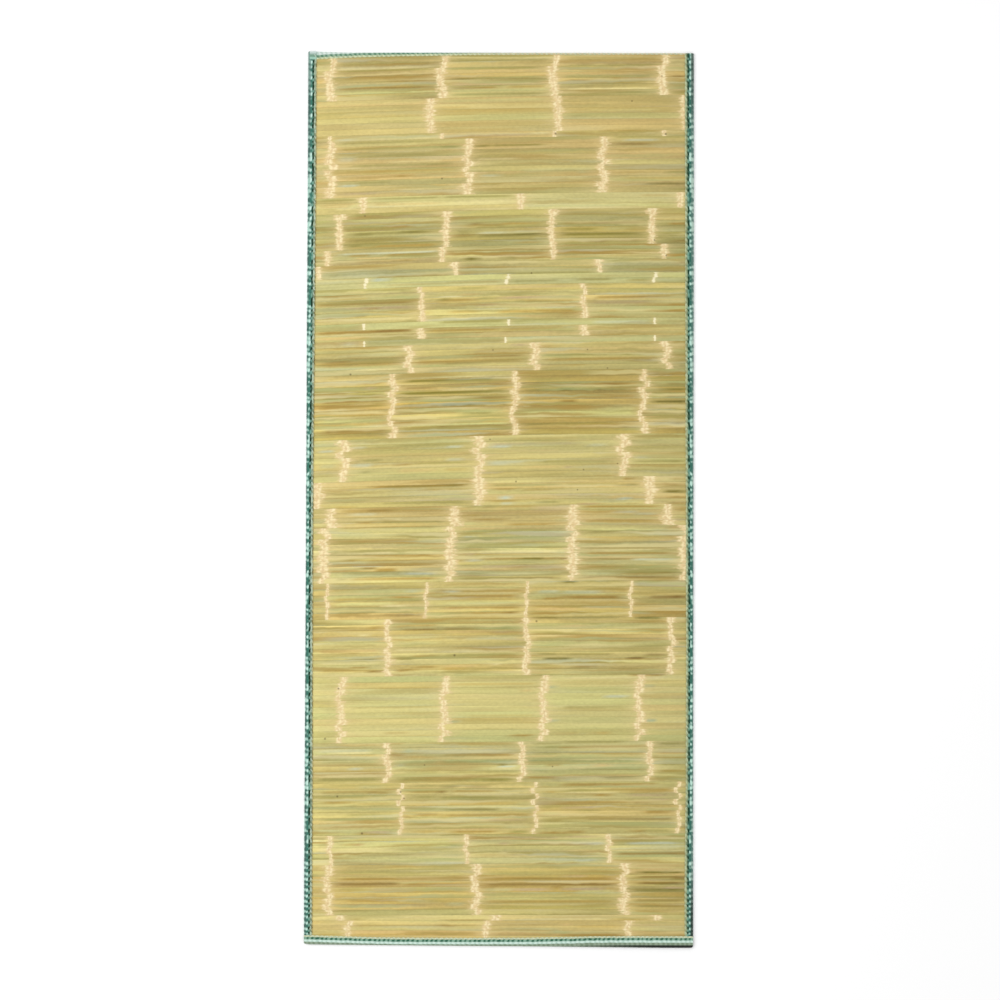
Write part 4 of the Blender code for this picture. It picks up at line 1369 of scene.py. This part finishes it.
@dataclass
class SlatSheet:
    """The flexible sheet of split bamboo slats, laid side by side across the mat.

    Its lengths are in millimetres. The crown's places are shares of a slat's width, and its rises shares
    of the slat's height. Where something stands beside a node is given in halves of the shaved place.
    """

    finish: CaneFinish
    stations: int = 54
    crown: tuple[float, ...] = (0.0, 0.05, 0.20, 0.35, 0.50, 0.65, 0.80, 0.95, 1.0)
    crown_rise: tuple[float, ...] = (0.80, 0.92, 0.97, 0.99, 1.0, 0.99, 0.97, 0.92, 0.80)
    gap: float = 0.10
    tilt: float = 0.07
    lift: tuple[float, float] = (-0.05, 0.03)
    end_cut: tuple[float, float] = (0.1, 1.4)
    end_margin: float = 1.0
    node_jitter: float = 1.4
    node_sizes: tuple[float, float] = (0.85, 1.60)
    node_stations: tuple[float, ...] = (-1.9, -0.95, 0.0, 0.95, 1.9)
    shaved: float = 0.14
    shaved_to: float = 1.25
    swelling: float = 0.10
    swelling_at: float = 1.6
    swelling_width: float = 0.6
    skew: float = 0.30
    skew_from: float = 2.0
    skew_fade: float = 14.0
    farthest_reach: float = 9.0
    farthest_side: float = 3.0
    other_share: float = 0.7
    other_spread: float = 0.3
    stray_share: float = 0.5
    light_spread: float = 0.05
    line_spread: float = 0.015
    drift_spread: float = 0.02
    mark_strength: float = 1.1
    mark_core: float = 0.3
    mark_rim: float = 1.8
    mark_start: float = 3.0
    mark_fade: float = 18.0
    fade_share: float = 0.3
    mark_range: float = 24.0
    map_pitch: float = 17.0
    seeds: float = 60.0
    seed: int = 20
    chance: np.random.Generator = field(init=False)
    marks: list[tuple[np.ndarray, Mark]] = field(init=False)

    def __post_init__(self) -> None:
        """Starts the sheet's own stream of chance values, and mixes the paint for its marks."""
        self.chance = np.random.default_rng(self.seed)
        paints = {tint: np.array(painted(tint.value)) for tint in MARKS}
        self.marks = [(paints[tint], Mark(*row)) for tint, rows in MARKS.items() for row in rows]

    def side_x(self, left: bool, y: float) -> float:
        """X of the sheet's left end, or else its right end, at this Y in millimetres."""
        top, bottom = (TOP_LEFT, BOTTOM_LEFT) if left else (TOP_RIGHT, BOTTOM_RIGHT)
        return mix(top.x, bottom.x, (top.y - y) / (top.y - bottom.y))

    def courses(self) -> list[Course]:
        """Lists where every slat lies, from the top of the mat down.

        Returns:
            A course for each slat, with those hidden in the bottom fold at the end.
        """
        grooves = [Groove(TOP_RIGHT.y, 0.0, TOP_RIGHT.y - TOP_LEFT.y)]
        bands, drifts = [], []
        ends = [(band.upper_edge, band.bow) for band in BANDS[1:]] + [(LAST_SEEN_EDGE, LAST_SEEN_BOW)]
        for band, (next_edge, next_bow) in zip(BANDS, ends):
            for slat in range(band.slats):
                passed = (slat + 1) / band.slats
                edge = mix(band.upper_edge, next_edge, passed)
                grooves.append(Groove(edge, mix(band.bow, next_bow, passed)))
                bands.append(band)
                drifts.append(band.drift[slat])
        seen = grooves[-1]
        tilt = BOTTOM_RIGHT.y - BOTTOM_LEFT.y
        for slat in range(HIDDEN_SLATS):
            passed = (slat + 1) / HIDDEN_SLATS
            lower = mix(seen.right, BOTTOM_RIGHT.y, passed)
            grooves.append(Groove(lower, seen.bow * (1 - passed), tilt * passed))
            bands.append(BANDS[-1])
            drifts.append(0.0)
        nodes = [self.slat_nodes(band, drift) for band, drift in zip(bands, drifts)]
        courses = []
        for order, band in enumerate(bands):
            above = nodes[order - 1] if order and bands[order - 1] is band else nodes[order]
            follows = order + 1 < len(bands) and bands[order + 1] is band
            below = nodes[order + 1] if follows else nodes[order]
            upper, lower = grooves[order : order + 2]
            courses.append(Course(order, upper, lower, band, nodes[order], above, below))
        return courses

    def model_blank(self) -> bpy.types.Object:
        """Models one slat by hand: a block whose top is cut into strips and raised into a crown.

        Each strip's edge is moved well aside as it is raised, so that the next one is found where it was,
        and they are all moved back together.

        Returns:
            The slat, one unit long and wide, with its real height in millimetres.
        """
        aside, near = 20.0, 0.02
        deselect_all()
        bpy.ops.mesh.primitive_cube_add(size=1.0, location=(0.5, 0.5, 0.5))
        blank = bpy.context.active_object
        bpy.ops.object.transform_apply(location=True, rotation=False, scale=False)
        bpy.ops.object.mode_set(mode="EDIT")
        select_parts(
            blank, "EDGE", lambda edge: min(end.co.z for end in edge.verts) > 0.5 and reach_of(edge, 1) > 0.5
        )
        bpy.ops.mesh.subdivide(number_cuts=len(self.crown) - 2)
        for place, (across, rise) in enumerate(zip(self.crown, self.crown_rise)):
            even = place / (len(self.crown) - 1)
            select_parts(blank, "VERT", lambda point: point.co.z > 0.5 and abs(point.co.y - even) < near)
            height = (SLAT_CREST - SLAT_UNDERSIDE) * rise
            bpy.ops.transform.translate(value=(0.0, aside + across - even, height - 1.0))
        select_parts(blank, "VERT", lambda point: point.co.y > 0.5 * aside)
        bpy.ops.transform.translate(value=(0.0, -aside, 0.0))
        select_parts(blank, "EDGE", lambda edge: reach_of(edge, 0) > 0.5)
        bpy.ops.mesh.subdivide(number_cuts=self.stations - 2)
        bpy.ops.object.mode_set(mode="OBJECT")
        return blank

    def slat_nodes(self, band: Band, drift: float) -> np.ndarray:
        """X of a slat's nodes, which step to and fro from one slat to the next.

        Args:
            band: the cane that it was split from.
            drift: how far its nodes stand to the right of the band's, in the photograph's pixels.

        Returns:
            X of each node, in millimetres.
        """
        jitter = self.chance.uniform(-self.node_jitter, self.node_jitter, len(band.nodes))
        return np.array(band.nodes) + drift * PIXEL + jitter

    def places_along(self, left: float, right: float, nodes: np.ndarray, half: float) -> np.ndarray:
        """Chooses where the slat's stations stand, close together at each node.

        Args:
            left: X of the slat's left end.
            right: X of its right end.
            nodes: X of its nodes.
            half: half the width of a shaved node.

        Returns:
            X of each station, from the left, in millimetres.
        """
        places = [left, right]
        for node in nodes:
            for offset in self.node_stations:
                place = node + offset * half
                if left + self.end_margin < place < right - self.end_margin:
                    places.append(place)
        places.sort()
        while len(places) < self.stations:
            widest = max(range(len(places) - 1), key=lambda at: places[at + 1] - places[at])
            places.insert(widest + 1, 0.5 * (places[widest] + places[widest + 1]))
        return np.array(places)

    def cane_tints(self, band: Band, x: np.ndarray, length: np.ndarray, row: np.ndarray) -> np.ndarray:
        """Paints the tint of a slat's cane, which changes at each node, and its soft lines.

        Args:
            band: the cane that it was split from.
            x: X of each vertex, in millimetres.
            length: which length between nodes each vertex is in.
            row: which of the crown's rows each vertex is in.

        Returns:
            A linear colour for each vertex.
        """
        tint, other = np.array(painted(band.tint.value)), np.array(painted(band.other.value))
        colours = np.tile(tint, (len(x), 1))
        whole = self.chance.uniform(0.0, self.other_share)
        rows = len(self.crown) + 2
        for piece in range(len(band.nodes) + 1):
            here = length == piece
            stray = np.array(painted(STRAYS[self.chance.integers(len(STRAYS))].value))
            share = whole + self.chance.uniform(-self.other_spread, self.other_spread)
            base = mix(tint, other, np.clip(share, 0.0, 1.0))
            base = mix(base, stray, self.chance.uniform(0.0, self.stray_share))
            base[:3] *= 1.0 + self.chance.normal(0.0, self.light_spread * band.lined)
            lines = self.chance.normal(0.0, self.line_spread * band.lined, rows)
            drift = self.chance.normal(0.0, self.drift_spread * band.lined, rows)
            if here.any():
                passed = (x[here] - x[here].min()) / (np.ptp(x[here]) + 1e-6)
                light = 1.0 + lines[row[here]] + drift[row[here]] * (passed - 0.5)
                colours[here] = base
                colours[here, :3] *= light[:, None]
        return colours

    def marked(self, course: Course, x: np.ndarray, y: np.ndarray, colours: np.ndarray) -> np.ndarray:
        """Lays the marks that the photo shows over a slat, and paints light on it, fading from left to right.

        Args:
            course: the slat's course.
            x: X of each vertex, in millimetres.
            y: Y of each vertex, in millimetres.
            colours: the linear colour of each vertex.

        Returns:
            The new colour of each vertex.
        """
        droop = course.upper._replace(right=0.0)
        for paint, mark in self.marks:
            height = photo_y(mark.height)
            if not y.min() - self.mark_range < height < y.max() + self.mark_range:
                continue
            start, end = photo_x(mark.start), photo_x(mark.end)
            line = height + droop.height(x) - droop.height(0.5 * (start + end))
            half = 0.5 * mark.width
            if np.abs(y - line).min() > half + self.mark_rim:
                continue
            across = 1.0 - eased(np.abs(y - line), self.mark_core * half, half + self.mark_rim)
            fade = min(self.mark_fade, self.fade_share * (end - start))
            begun = eased(x, start - self.mark_start, start + fade)
            ended = eased(x, end - fade, end + self.mark_start)
            along = begun * (1.0 - ended)
            share = min(1.0, self.mark_strength * (mark.strength / 10))
            colours = mix(colours, paint, (share * across * along)[:, None])
        # Painted light: the cane is brighter at the left and darker at the right.
        colours[:, :3] *= np.interp(x, *zip(*PAINTED_LIGHT_ALONG_X))[:, None]
        return colours

    def lay(self, blank: bpy.types.Object, course: Course) -> bpy.types.Object:
        """Copies the blank and lays the copy along its course.

        Args:
            blank: the slat that was modelled by hand.
            course: where this one lies.

        Returns:
            The laid slat, with its map and its attributes.
        """
        mesh = blank.data.copy()
        slat = place_object(f"slat_{course.order:03d}", mesh)
        shares = vertex_places(mesh)
        station = np.rint(shares[:, 0] * (self.stations - 1)).astype(int)
        half = course.band.half_node * self.chance.uniform(*self.node_sizes)
        nodes = course.nodes
        left = self.side_x(True, course.lower.right) + self.chance.uniform(*self.end_cut)
        right = self.side_x(False, course.lower.right) - self.chance.uniform(*self.end_cut)
        x = self.places_along(left, right, nodes, half)[station]
        top = shares[:, 2] > 0.5 * (SLAT_CREST - SLAT_UNDERSIDE)
        down = 1.0 - shares[:, 1]
        nearest = np.abs(x[:, None] - nodes[None, :]).argmin(axis=1)
        beside = (x - nodes[nearest]) / half
        away = np.abs(beside)
        neighbour = np.where(down < 0.5, course.nodes_above[nearest], course.nodes_below[nearest])
        skew_from = self.skew_from * half
        skewed = 1.0 - eased(away * half, skew_from, skew_from + self.skew_fade)
        x = x + self.skew * (neighbour - nodes[nearest]) * np.abs(down - 0.5) * skewed
        pitch = course.upper.height(x) - course.lower.height(x)
        trimmed = 0.5 * self.gap / pitch
        y = course.upper.height(x) - pitch * (trimmed + down * (1.0 - 2.0 * trimmed))
        swollen = self.swelling * np.exp(-(((away - self.swelling_at) / self.swelling_width) ** 2))
        relief = swollen - self.shaved * np.clip(self.shaved_to - away, 0.0, 1.0)
        lean = self.chance.uniform(-self.tilt, self.tilt) * (down - 0.5) + self.chance.uniform(*self.lift)
        z = SLAT_UNDERSIDE + shares[:, 2] + np.where(top, relief + lean, 0.0)
        move_vertices(mesh, x * MM, y * MM, z * MM)
        length = np.where(x < nodes[nearest] + 0.01, nearest, nearest + 1)
        crown_row = np.abs(down[:, None] - np.array(self.crown)[None, :]).argmin(axis=1)
        row = np.where(top, crown_row, len(self.crown))
        seeds = self.chance.uniform(0.0, self.seeds, len(nodes) + 1)
        point_values(mesh, "reach", np.minimum(away, self.farthest_reach))
        point_values(mesh, "side", np.clip(beside, -self.farthest_side, self.farthest_side))
        point_values(mesh, "cane", seeds[length])
        point_values(mesh, "lined", np.full(len(x), course.band.lined))
        point_values(mesh, "pale", np.full(len(x), course.band.pale))
        colours = self.cane_tints(course.band, x, length, row)
        point_colours(mesh, "tint", self.marked(course, x, y, colours))
        flat_map(mesh, "slat", x * MM, (down * pitch + self.map_pitch * course.order) * MM)
        return slat

    def build(self) -> bpy.types.Object:
        """Models the slat, lays every copy, and joins them into the sheet.

        Returns:
            The finished sheet.
        """
        blank = self.model_blank()
        slats = [self.lay(blank, course) for course in self.courses()]
        bpy.data.objects.remove(blank, do_unlink=True)
        sheet = join_pieces(slats, "slat_sheet")
        select_only(sheet)
        bpy.ops.object.shade_smooth_by_angle(angle=math.radians(40.0))
        sheet.data.materials.clear()
        sheet.data.materials.append(self.finish.material())
        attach(sheet, "root")
        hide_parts("slat_field")
        return sheet


@dataclass
class StitchRow:
    """Slanted stitches of pale thread along the inner edge of one tape.

    Its lengths are in millimetres and its angles in degrees. Each step of a stitch's ends says how far
    it reaches, as a share of the stitch's middle part, and how much narrower it gets.
    """

    finish: ThreadFinish
    length: float = 7.6
    width: float = 1.7
    thickness: float = 0.9
    slant: float = 22.0
    sides: int = 6
    ends: tuple[tuple[float, float], ...] = ((0.30, 0.80), (0.20, 0.45))
    droop: float = 0.12
    turns: float = 9.0
    sizes: tuple[float, float] = (0.55, 1.30)

    def model_stitch(self) -> bpy.types.Object:
        """Models one stitch by hand: a short hexagonal bar, swollen at its middle and drawn in at its ends.

        Returns:
            The stitch, lying along X at the origin, in metres.
        """
        deselect_all()
        body = 0.5 * self.length * MM
        bpy.ops.mesh.primitive_cylinder_add(
            vertices=self.sides, radius=0.5 * self.width * MM, depth=body, rotation=(0.0, 0.5 * math.pi, 0.0)
        )
        stitch = bpy.context.active_object
        bpy.ops.object.transform_apply(location=True, rotation=True, scale=True)
        stitch.data.uv_layers[0].name = "thread"
        for side in (-1.0, 1.0):
            bpy.ops.object.mode_set(mode="EDIT")
            select_parts(stitch, "FACE", lambda face: face.normal.x * side > 0.9)
            for reach, narrowed in self.ends:
                bpy.ops.mesh.extrude_region_move(
                    TRANSFORM_OT_translate={"value": (side * reach * body, 0.0, -self.droop * reach * body)}
                )
                bpy.ops.transform.resize(value=(1.0, narrowed, narrowed))
            bpy.ops.object.mode_set(mode="OBJECT")
        bpy.ops.object.mode_set(mode="EDIT")
        bpy.ops.mesh.select_all(action="SELECT")
        bpy.ops.transform.resize(value=(1.0, 1.0, self.thickness / self.width))
        bpy.ops.object.mode_set(mode="OBJECT")
        bpy.ops.object.shade_smooth_by_angle(angle=math.radians(60.0))
        return stitch

    def sew(self, name: str, places: Sequence[tuple[Vector, float]], seed: int) -> bpy.types.Object:
        """Copies the stitch to each of its places and joins the copies.

        Args:
            name: the name of the row.
            places: the middle of each stitch in metres, and its turn in radians.
            seed: sets how uneven the hand was.

        Returns:
            The row of stitches.
        """
        chance = np.random.default_rng(seed)
        stitch = self.model_stitch()
        points = vertex_places(stitch.data)
        copies = []
        for order, (middle, turn) in enumerate(places):
            mesh = stitch.data.copy()
            angle = turn + math.radians(chance.uniform(-self.turns, self.turns))
            size = chance.uniform(*self.sizes)
            cosine, sine = math.cos(angle), math.sin(angle)
            x = middle.x + size * points[:, 0] * cosine - points[:, 1] * sine
            y = middle.y + size * points[:, 0] * sine + points[:, 1] * cosine
            move_vertices(mesh, x, y, middle.z + points[:, 2])
            copies.append(place_object(f"{name}_{order:03d}", mesh))
        bpy.data.objects.remove(stitch, do_unlink=True)
        row = join_pieces(copies, name)
        row.data.materials.clear()
        row.data.materials.append(self.finish.material())
        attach(row, "root")
        return row


@dataclass
class BindingTape:
    """A woven tape folded over one edge of the mat and sewn down along its inner edge.

    Its lengths are in millimetres. Where it is narrow it has no seam. Each of its sways is a wave in its
    inner edge, with its size and its length.
    """

    name: str
    node: str
    rows: tuple[EdgeRow, ...]
    along_y: bool
    finish: TapeFinish
    stitches: StitchRow
    seed: int
    step: float = 2.0
    fold_radius: float = 1.5
    fold_steps: int = 6
    fold_length: float = 4.9
    upper_steps: int = 8
    lower_steps: int = 4
    seam: float = 2.9
    seam_width: float = 1.7
    hem_width: float = 2.5
    narrow: float = 8.0
    pucker: float = 0.20
    pucker_beat: float = 0.4
    scallop: float = 0.35
    sways: tuple[tuple[float, float], ...] = ((0.22, 310.0), (0.15, 97.0), (0.08, 41.0))
    sway_share: float = 0.5
    unsewn_end: float = 6.0
    stitch_lift: float = 0.1

    def ends(self) -> tuple[float, float]:
        """The tape's two ends along its edge, in millimetres."""
        places = [row.along for row in self.rows]
        return min(places), max(places)

    def edges(self, along: np.ndarray) -> tuple[np.ndarray, np.ndarray]:
        """The two edges of the tape that show.

        Args:
            along: places along the tape, in millimetres.

        Returns:
            Where its inner edge is at each place, and where its outer one is.
        """
        rows = sorted(self.rows)
        stations = [row.along for row in rows]
        inner = np.interp(along, stations, [row.inner for row in rows])
        outer = np.interp(along, stations, [row.outer for row in rows])
        return inner, outer

    def section(self, width: float) -> list[tuple[float, float, float]]:
        """The folded tape's outer face at one station, from its top edge round to its lower one.

        Args:
            width: how wide the tape shows from above, in millimetres.

        Returns:
            For each point its inset from the fold, its height, and its distance along the tape's own width.
        """
        radius = self.fold_radius
        upper, lower = self.upper_steps, self.lower_steps
        points = [(mix(width, radius, step / upper), MAT_HEIGHT) for step in range(upper)]
        angles = [0.5 * math.pi * turn / self.fold_steps for turn in range(self.fold_steps + 1)]
        for angle in angles:
            points.append((radius * (1 - math.sin(angle)), MAT_HEIGHT - radius * (1 - math.cos(angle))))
        for angle in angles:
            points.append((radius * (1 - math.cos(angle)), radius * (1 - math.sin(angle))))
        points += [(mix(radius, width, (step + 1) / lower), 0.0) for step in range(lower)]
        section, passed = [], 0.0
        for at, (inset, height) in enumerate(points):
            if at:
                passed += math.dist(points[at - 1], (inset, height))
            section.append((inset, height, passed))
        return section

    def loft(self) -> bpy.types.Mesh:
        """Lofts the folded strip's outer face through its stations.

        Returns:
            The mesh of that face, with its map.
        """
        chance = np.random.default_rng(self.seed)
        first, last = self.ends()
        count = int(round((last - first) / self.step)) + 1
        along = np.array(sorted({*np.linspace(first, last, count), *(row.along for row in self.rows)}))
        inner, outer = self.edges(along)
        sway = sum(
            size * np.sin(2 * math.pi * along / wave + chance.uniform(0.0, 6.3)) for size, wave in self.sways
        )
        beat = np.cos(2 * math.pi * along / self.finish.period)
        points, ups, unders = [], [], []
        for at, place in enumerate(along):
            width = abs(inner[at] - outer[at])
            inward = math.copysign(1.0, inner[at] - outer[at])
            for inset, height, passed in self.section(width):
                from_inner = width - inset
                upper = height > 0.5 * MAT_HEIGHT
                hem = math.exp(-((from_inner / self.hem_width) ** 2)) if upper else 0.0
                from_seam = (from_inner - self.seam) / self.seam_width
                sunk = math.exp(-(from_seam**2)) if upper and width > self.narrow else 0.0
                scalloped, swayed = hem * self.scallop * beat[at], self.sway_share * sway[at] * hem
                across = outer[at] + inward * (inset + scalloped + swayed)
                drawn = 1.0 - self.pucker_beat + self.pucker_beat * beat[at]
                z = height - self.pucker * sunk * drawn
                x, y = (across, place) if self.along_y else (place, across)
                points.append((x * MM, y * MM, z * MM))
                ups.append(place * MM)
                unders.append(passed * MM)
        ring = len(points) // len(along)
        faces = []
        for at in range(len(along) - 1):
            for side in range(ring - 1):
                here = at * ring + side
                faces.append((here, here + ring, here + ring + 1, here + 1))
        mesh = bpy.data.meshes.new(self.name)
        mesh.from_pydata(points, [], faces)
        mesh.update()
        flat_map(mesh, "tape", np.array(ups), np.array(unders))
        if mesh.polygons[0].normal.z < 0:
            mesh.flip_normals()
        return mesh

    def strip(self) -> bpy.types.Object:
        """Makes the folded strip, and gives it its thickness.

        Returns:
            The tape.
        """
        tape = place_object(self.name, self.loft())
        select_only(tape)
        wall = tape.modifiers.new("tape thickness", "SOLIDIFY")
        wall.thickness = TAPE_THICKNESS * MM
        wall.offset = -1.0
        wall.use_even_offset = True
        bpy.ops.object.modifier_apply(modifier=wall.name)
        bpy.ops.object.shade_smooth_by_angle(angle=math.radians(50.0))
        return tape

    def stitch_places(self) -> list[tuple[Vector, float]]:
        """Where the stitches stand on the tape, and how they are turned.

        Returns:
            The middle of each in metres, and its turn in radians.
        """
        period = self.finish.period
        first, last = self.ends()
        beats = range(
            math.ceil((first + self.unsewn_end) / period), math.floor((last - self.unsewn_end) / period) + 1
        )
        slant = self.stitches.slant
        turn = math.radians(-90.0 + slant) if self.along_y else math.radians(-slant)
        places = []
        for beat in beats:
            along = beat * period
            inner, outer = self.edges(np.array([along]))
            width = abs(inner[0] - outer[0])
            seam = min(self.seam, 0.5 * width)
            across = inner[0] + math.copysign(seam, outer[0] - inner[0])
            x, y = (across, along) if self.along_y else (along, across)
            height = MAT_HEIGHT - (self.pucker if width > self.narrow else 0.0) + self.stitch_lift
            places.append((Vector((x * MM, y * MM, height * MM)), turn))
        return places

    def build(self, rests_on: bpy.types.Object) -> bpy.types.Object:
        """Makes the tape and its stitches.

        Args:
            rests_on: the sheet that the tape is folded over. It is not used.

        Returns:
            The tape.
        """
        tape = self.strip()
        tape.data.materials.append(self.finish.material())
        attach(tape, "root")
        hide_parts(self.node)
        row = self.stitches.sew(self.name.replace("tape", "stitches"), self.stitch_places(), self.seed)
        return tape


@dataclass
class Studio:
    """A plain pale floor, soft light from all round with a broad lamp at the left, and the camera."""

    floor_finish: FloorFinish
    floor_size: float = 24.0
    floor_drop: float = 0.0002
    lens: float = 85.0
    sensor: float = 36.0
    nearest: float = 0.1
    farthest: float = 60.0
    sky: float = 0.93
    lamp: float = 38.5
    lamp_width: float = 1.8
    lamp_length: float = 2.6
    lamp_place: tuple[float, float, float] = (-1.9, 0.5, 2.6)

    def lay_floor(self) -> None:
        """Makes the floor that the mat lies on."""
        deselect_all()
        bpy.ops.mesh.primitive_plane_add(size=1.0, location=(0.0, 0.0, -self.floor_drop))
        floor = bpy.context.active_object
        floor.name = "studio_floor"
        bpy.ops.object.mode_set(mode="EDIT")
        bpy.ops.mesh.select_all(action="SELECT")
        bpy.ops.transform.resize(value=(self.floor_size, self.floor_size, 1.0))
        bpy.ops.object.mode_set(mode="OBJECT")
        floor.data.materials.append(self.floor_finish.material())

    def light(self) -> None:
        """Lights the scene evenly, with one broad lamp."""
        world = bpy.data.worlds.new("studio")
        world.use_nodes = True
        background = world.node_tree.nodes["Background"]
        background.inputs["Color"].default_value = (1.0, 1.0, 1.0, 1.0)
        background.inputs["Strength"].default_value = self.sky
        bpy.context.scene.world = world
        lamp = bpy.data.lights.new("broad lamp", "AREA")
        lamp.shape = "RECTANGLE"
        lamp.size = self.lamp_width
        lamp.size_y = self.lamp_length
        lamp.energy = self.lamp
        carrier = place_object("broad lamp", lamp)
        carrier.location = self.lamp_place
        carrier.rotation_euler = Vector(self.lamp_place).to_track_quat("Z", "Y").to_euler()

    def place_camera(self) -> None:
        """Hangs the camera straight above the mat, as the photograph was taken."""
        data = bpy.data.cameras.new("camera")
        data.lens = self.lens
        data.sensor_width = self.sensor
        data.clip_start = self.nearest
        data.clip_end = self.farthest
        camera = place_object("camera", data)
        away = PHOTO_WIDTH * PIXEL * MM * self.lens / self.sensor
        middle = 0.5 * PHOTO_WIDTH
        camera.location = (photo_x(middle) * MM, photo_y(middle) * MM, away + SLAT_CREST * MM)
        bpy.context.scene.camera = camera

    def build(self) -> None:
        """Lays the floor, sets the lights and hangs the camera."""
        self.lay_floor()
        self.light()
        self.place_camera()
        bpy.context.scene.view_settings.view_transform = "Standard"


# The first row, along the inner edge, is painted in olive-brown and straw dabs, darker than the cane beside
# it.
LEFT_WEAVE = (
    TapeRow(-4.0, 1.7, "#857A50", "#BCBA90", 0.3, 0.35, 0.50),
    TapeRow(1.7, 4.9, "#7F9078", "#BCCCB2", 0.0, 0.35, 0.45),
    TapeRow(4.9, 8.8, "#1C4437", "#7DA896", 0.5, 0.0, 0.20),
    TapeRow(8.8, 12.9, "#4C7F70", "#D0F2E5", 0.15, 0.05, 0.33),
    TapeRow(12.9, 26.0, "#54736A", "#B4D8CA", 0.1, 0.0, 0.36),
)
LEFT_STAINS = (
    TapeStainAndShade(560.0, 880.0, 10.5, 13.0, "#566E68", 0.60),
    TapeStainAndShade(910.0, 912.5, 14.9, 13.7, "#A9D2BF", 0.92),
    TapeStainAndShade(914.6, 917.2, 14.9, 13.7, "#7E9F8B", 0.92),
    TapeStainAndShade(918.8, 926.0, 14.9, 13.7, "#CFDDD9", 0.95),
)
RIGHT_WEAVE = (
    TapeRow(-4.0, 2.4, "#A9AB84", "#C6CDA2", 0.0, 0.35, 0.50),
    TapeRow(2.4, 5.0, "#7B8E70", "#A8B892", 0.2, 0.35, 0.45),
    TapeRow(5.0, 8.6, "#1F4838", "#7FAA96", 0.5, 0.0, 0.20),
    TapeRow(8.6, 13.0, "#487669", "#C6EBDC", 0.15, 0.05, 0.31),
    TapeRow(13.0, 26.0, "#65837A", "#B4CCBE", 0.1, 0.0, 0.32),
)
# Painted shade on the right tape's outer fold, near its top end and near its bottom end.
RIGHT_PAINTED_SHADE = (
    TapeStainAndShade(740.0, 900.0, 12.0, 14.0, "#2B3F38", 0.75),
    TapeStainAndShade(-740.0, -860.0, 11.0, 13.5, "#24382E", 0.80),
)
TOP_WEAVE = (
    TapeRow(-4.0, 3.6, "#B4C09A", "#D5DDB6", 0.0, 0.3, 0.55),
    TapeRow(3.6, 8.4, "#688C74", "#9BB79F", 0.5, 0.1, 0.40),
    TapeRow(8.4, 26.0, "#BFD3C8", "#DCE8E1", 0.0, 0.5, 0.60),
)
TOP_STAINS = (
    TapeStainAndShade(-150.0, 100.0, -6.0, -5.0, "#D8CBA6", 0.80),
)
BOTTOM_WEAVE = (
    TapeRow(-4.0, 3.4, "#C6CFAC", "#DEE4C6", 0.0, 0.3, 0.55),
    TapeRow(3.4, 8.4, "#46705A", "#8DB29C", 0.5, 0.1, 0.38),
    TapeRow(8.4, 13.2, "#BEDCCD", "#D9F0E4", 0.0, 0.5, 0.60),
    TapeRow(13.2, 26.0, "#84967F", "#9BAB96", 0.2, 0.0, 0.50),
)
# Painted shade on the bottom tape's outer fold, growing near-black towards the right.
BOTTOM_PAINTED_SHADE = (
    TapeStainAndShade(60.0, 330.0, 17.0, 19.4, "#10190A", 0.94),
)


def build_tapes(sheet: bpy.types.Object) -> None:
    """Makes the four binding tapes.

    Args:
        sheet: the slat sheet that they are folded over.
    """
    bright = StitchRow(ThreadFinish("pale thread", "#DCEADB", "#93A68E"))
    dull = StitchRow(ThreadFinish("grey thread", "#DCE8CA", "#96A27A"))
    short = StitchRow(ThreadFinish("end thread", "#DEE6C6", "#AFC2A4"), length=6.4)
    left = TapeFinish("left tape", 11.2, LEFT_WEAVE, LEFT_STAINS, even_below=-760.0)
    right = TapeFinish("right tape", 11.2, RIGHT_WEAVE, RIGHT_PAINTED_SHADE, even_below=-800.0)
    top = TapeFinish("top tape", 9.9, TOP_WEAVE, TOP_STAINS, wander=0.3, even_below=1500.0)
    bottom = TapeFinish("bottom tape", 9.9, BOTTOM_WEAVE, BOTTOM_PAINTED_SHADE, wander=0.3, even_below=1500.0)
    plan = (
        BindingTape("tape_left", "binding_left", LEFT_ROWS, True, left, bright, 3),
        BindingTape("tape_right", "binding_right", RIGHT_ROWS, True, right, dull, 5),
        BindingTape("tape_top", "binding_top", TOP_ROWS, False, top, short, 7),
        BindingTape("tape_bottom", "binding_bottom", BOTTOM_ROWS, False, bottom, short, 9, seam=1.8),
    )
    for tape in plan:
        built = tape.build(sheet)
        log.info("%s: %d faces", built.name, len(built.data.polygons))


def main() -> None:
    """Builds the mat and the studio, and reports each piece."""
    logging.basicConfig(level=logging.INFO, format="%(name)s: %(message)s")
    sheet = SlatSheet(CaneFinish()).build()
    log.info("%s: %d faces", sheet.name, len(sheet.data.polygons))
    build_tapes(sheet)
    Studio(FloorFinish()).build()


if __name__ == "__main__":
    main()
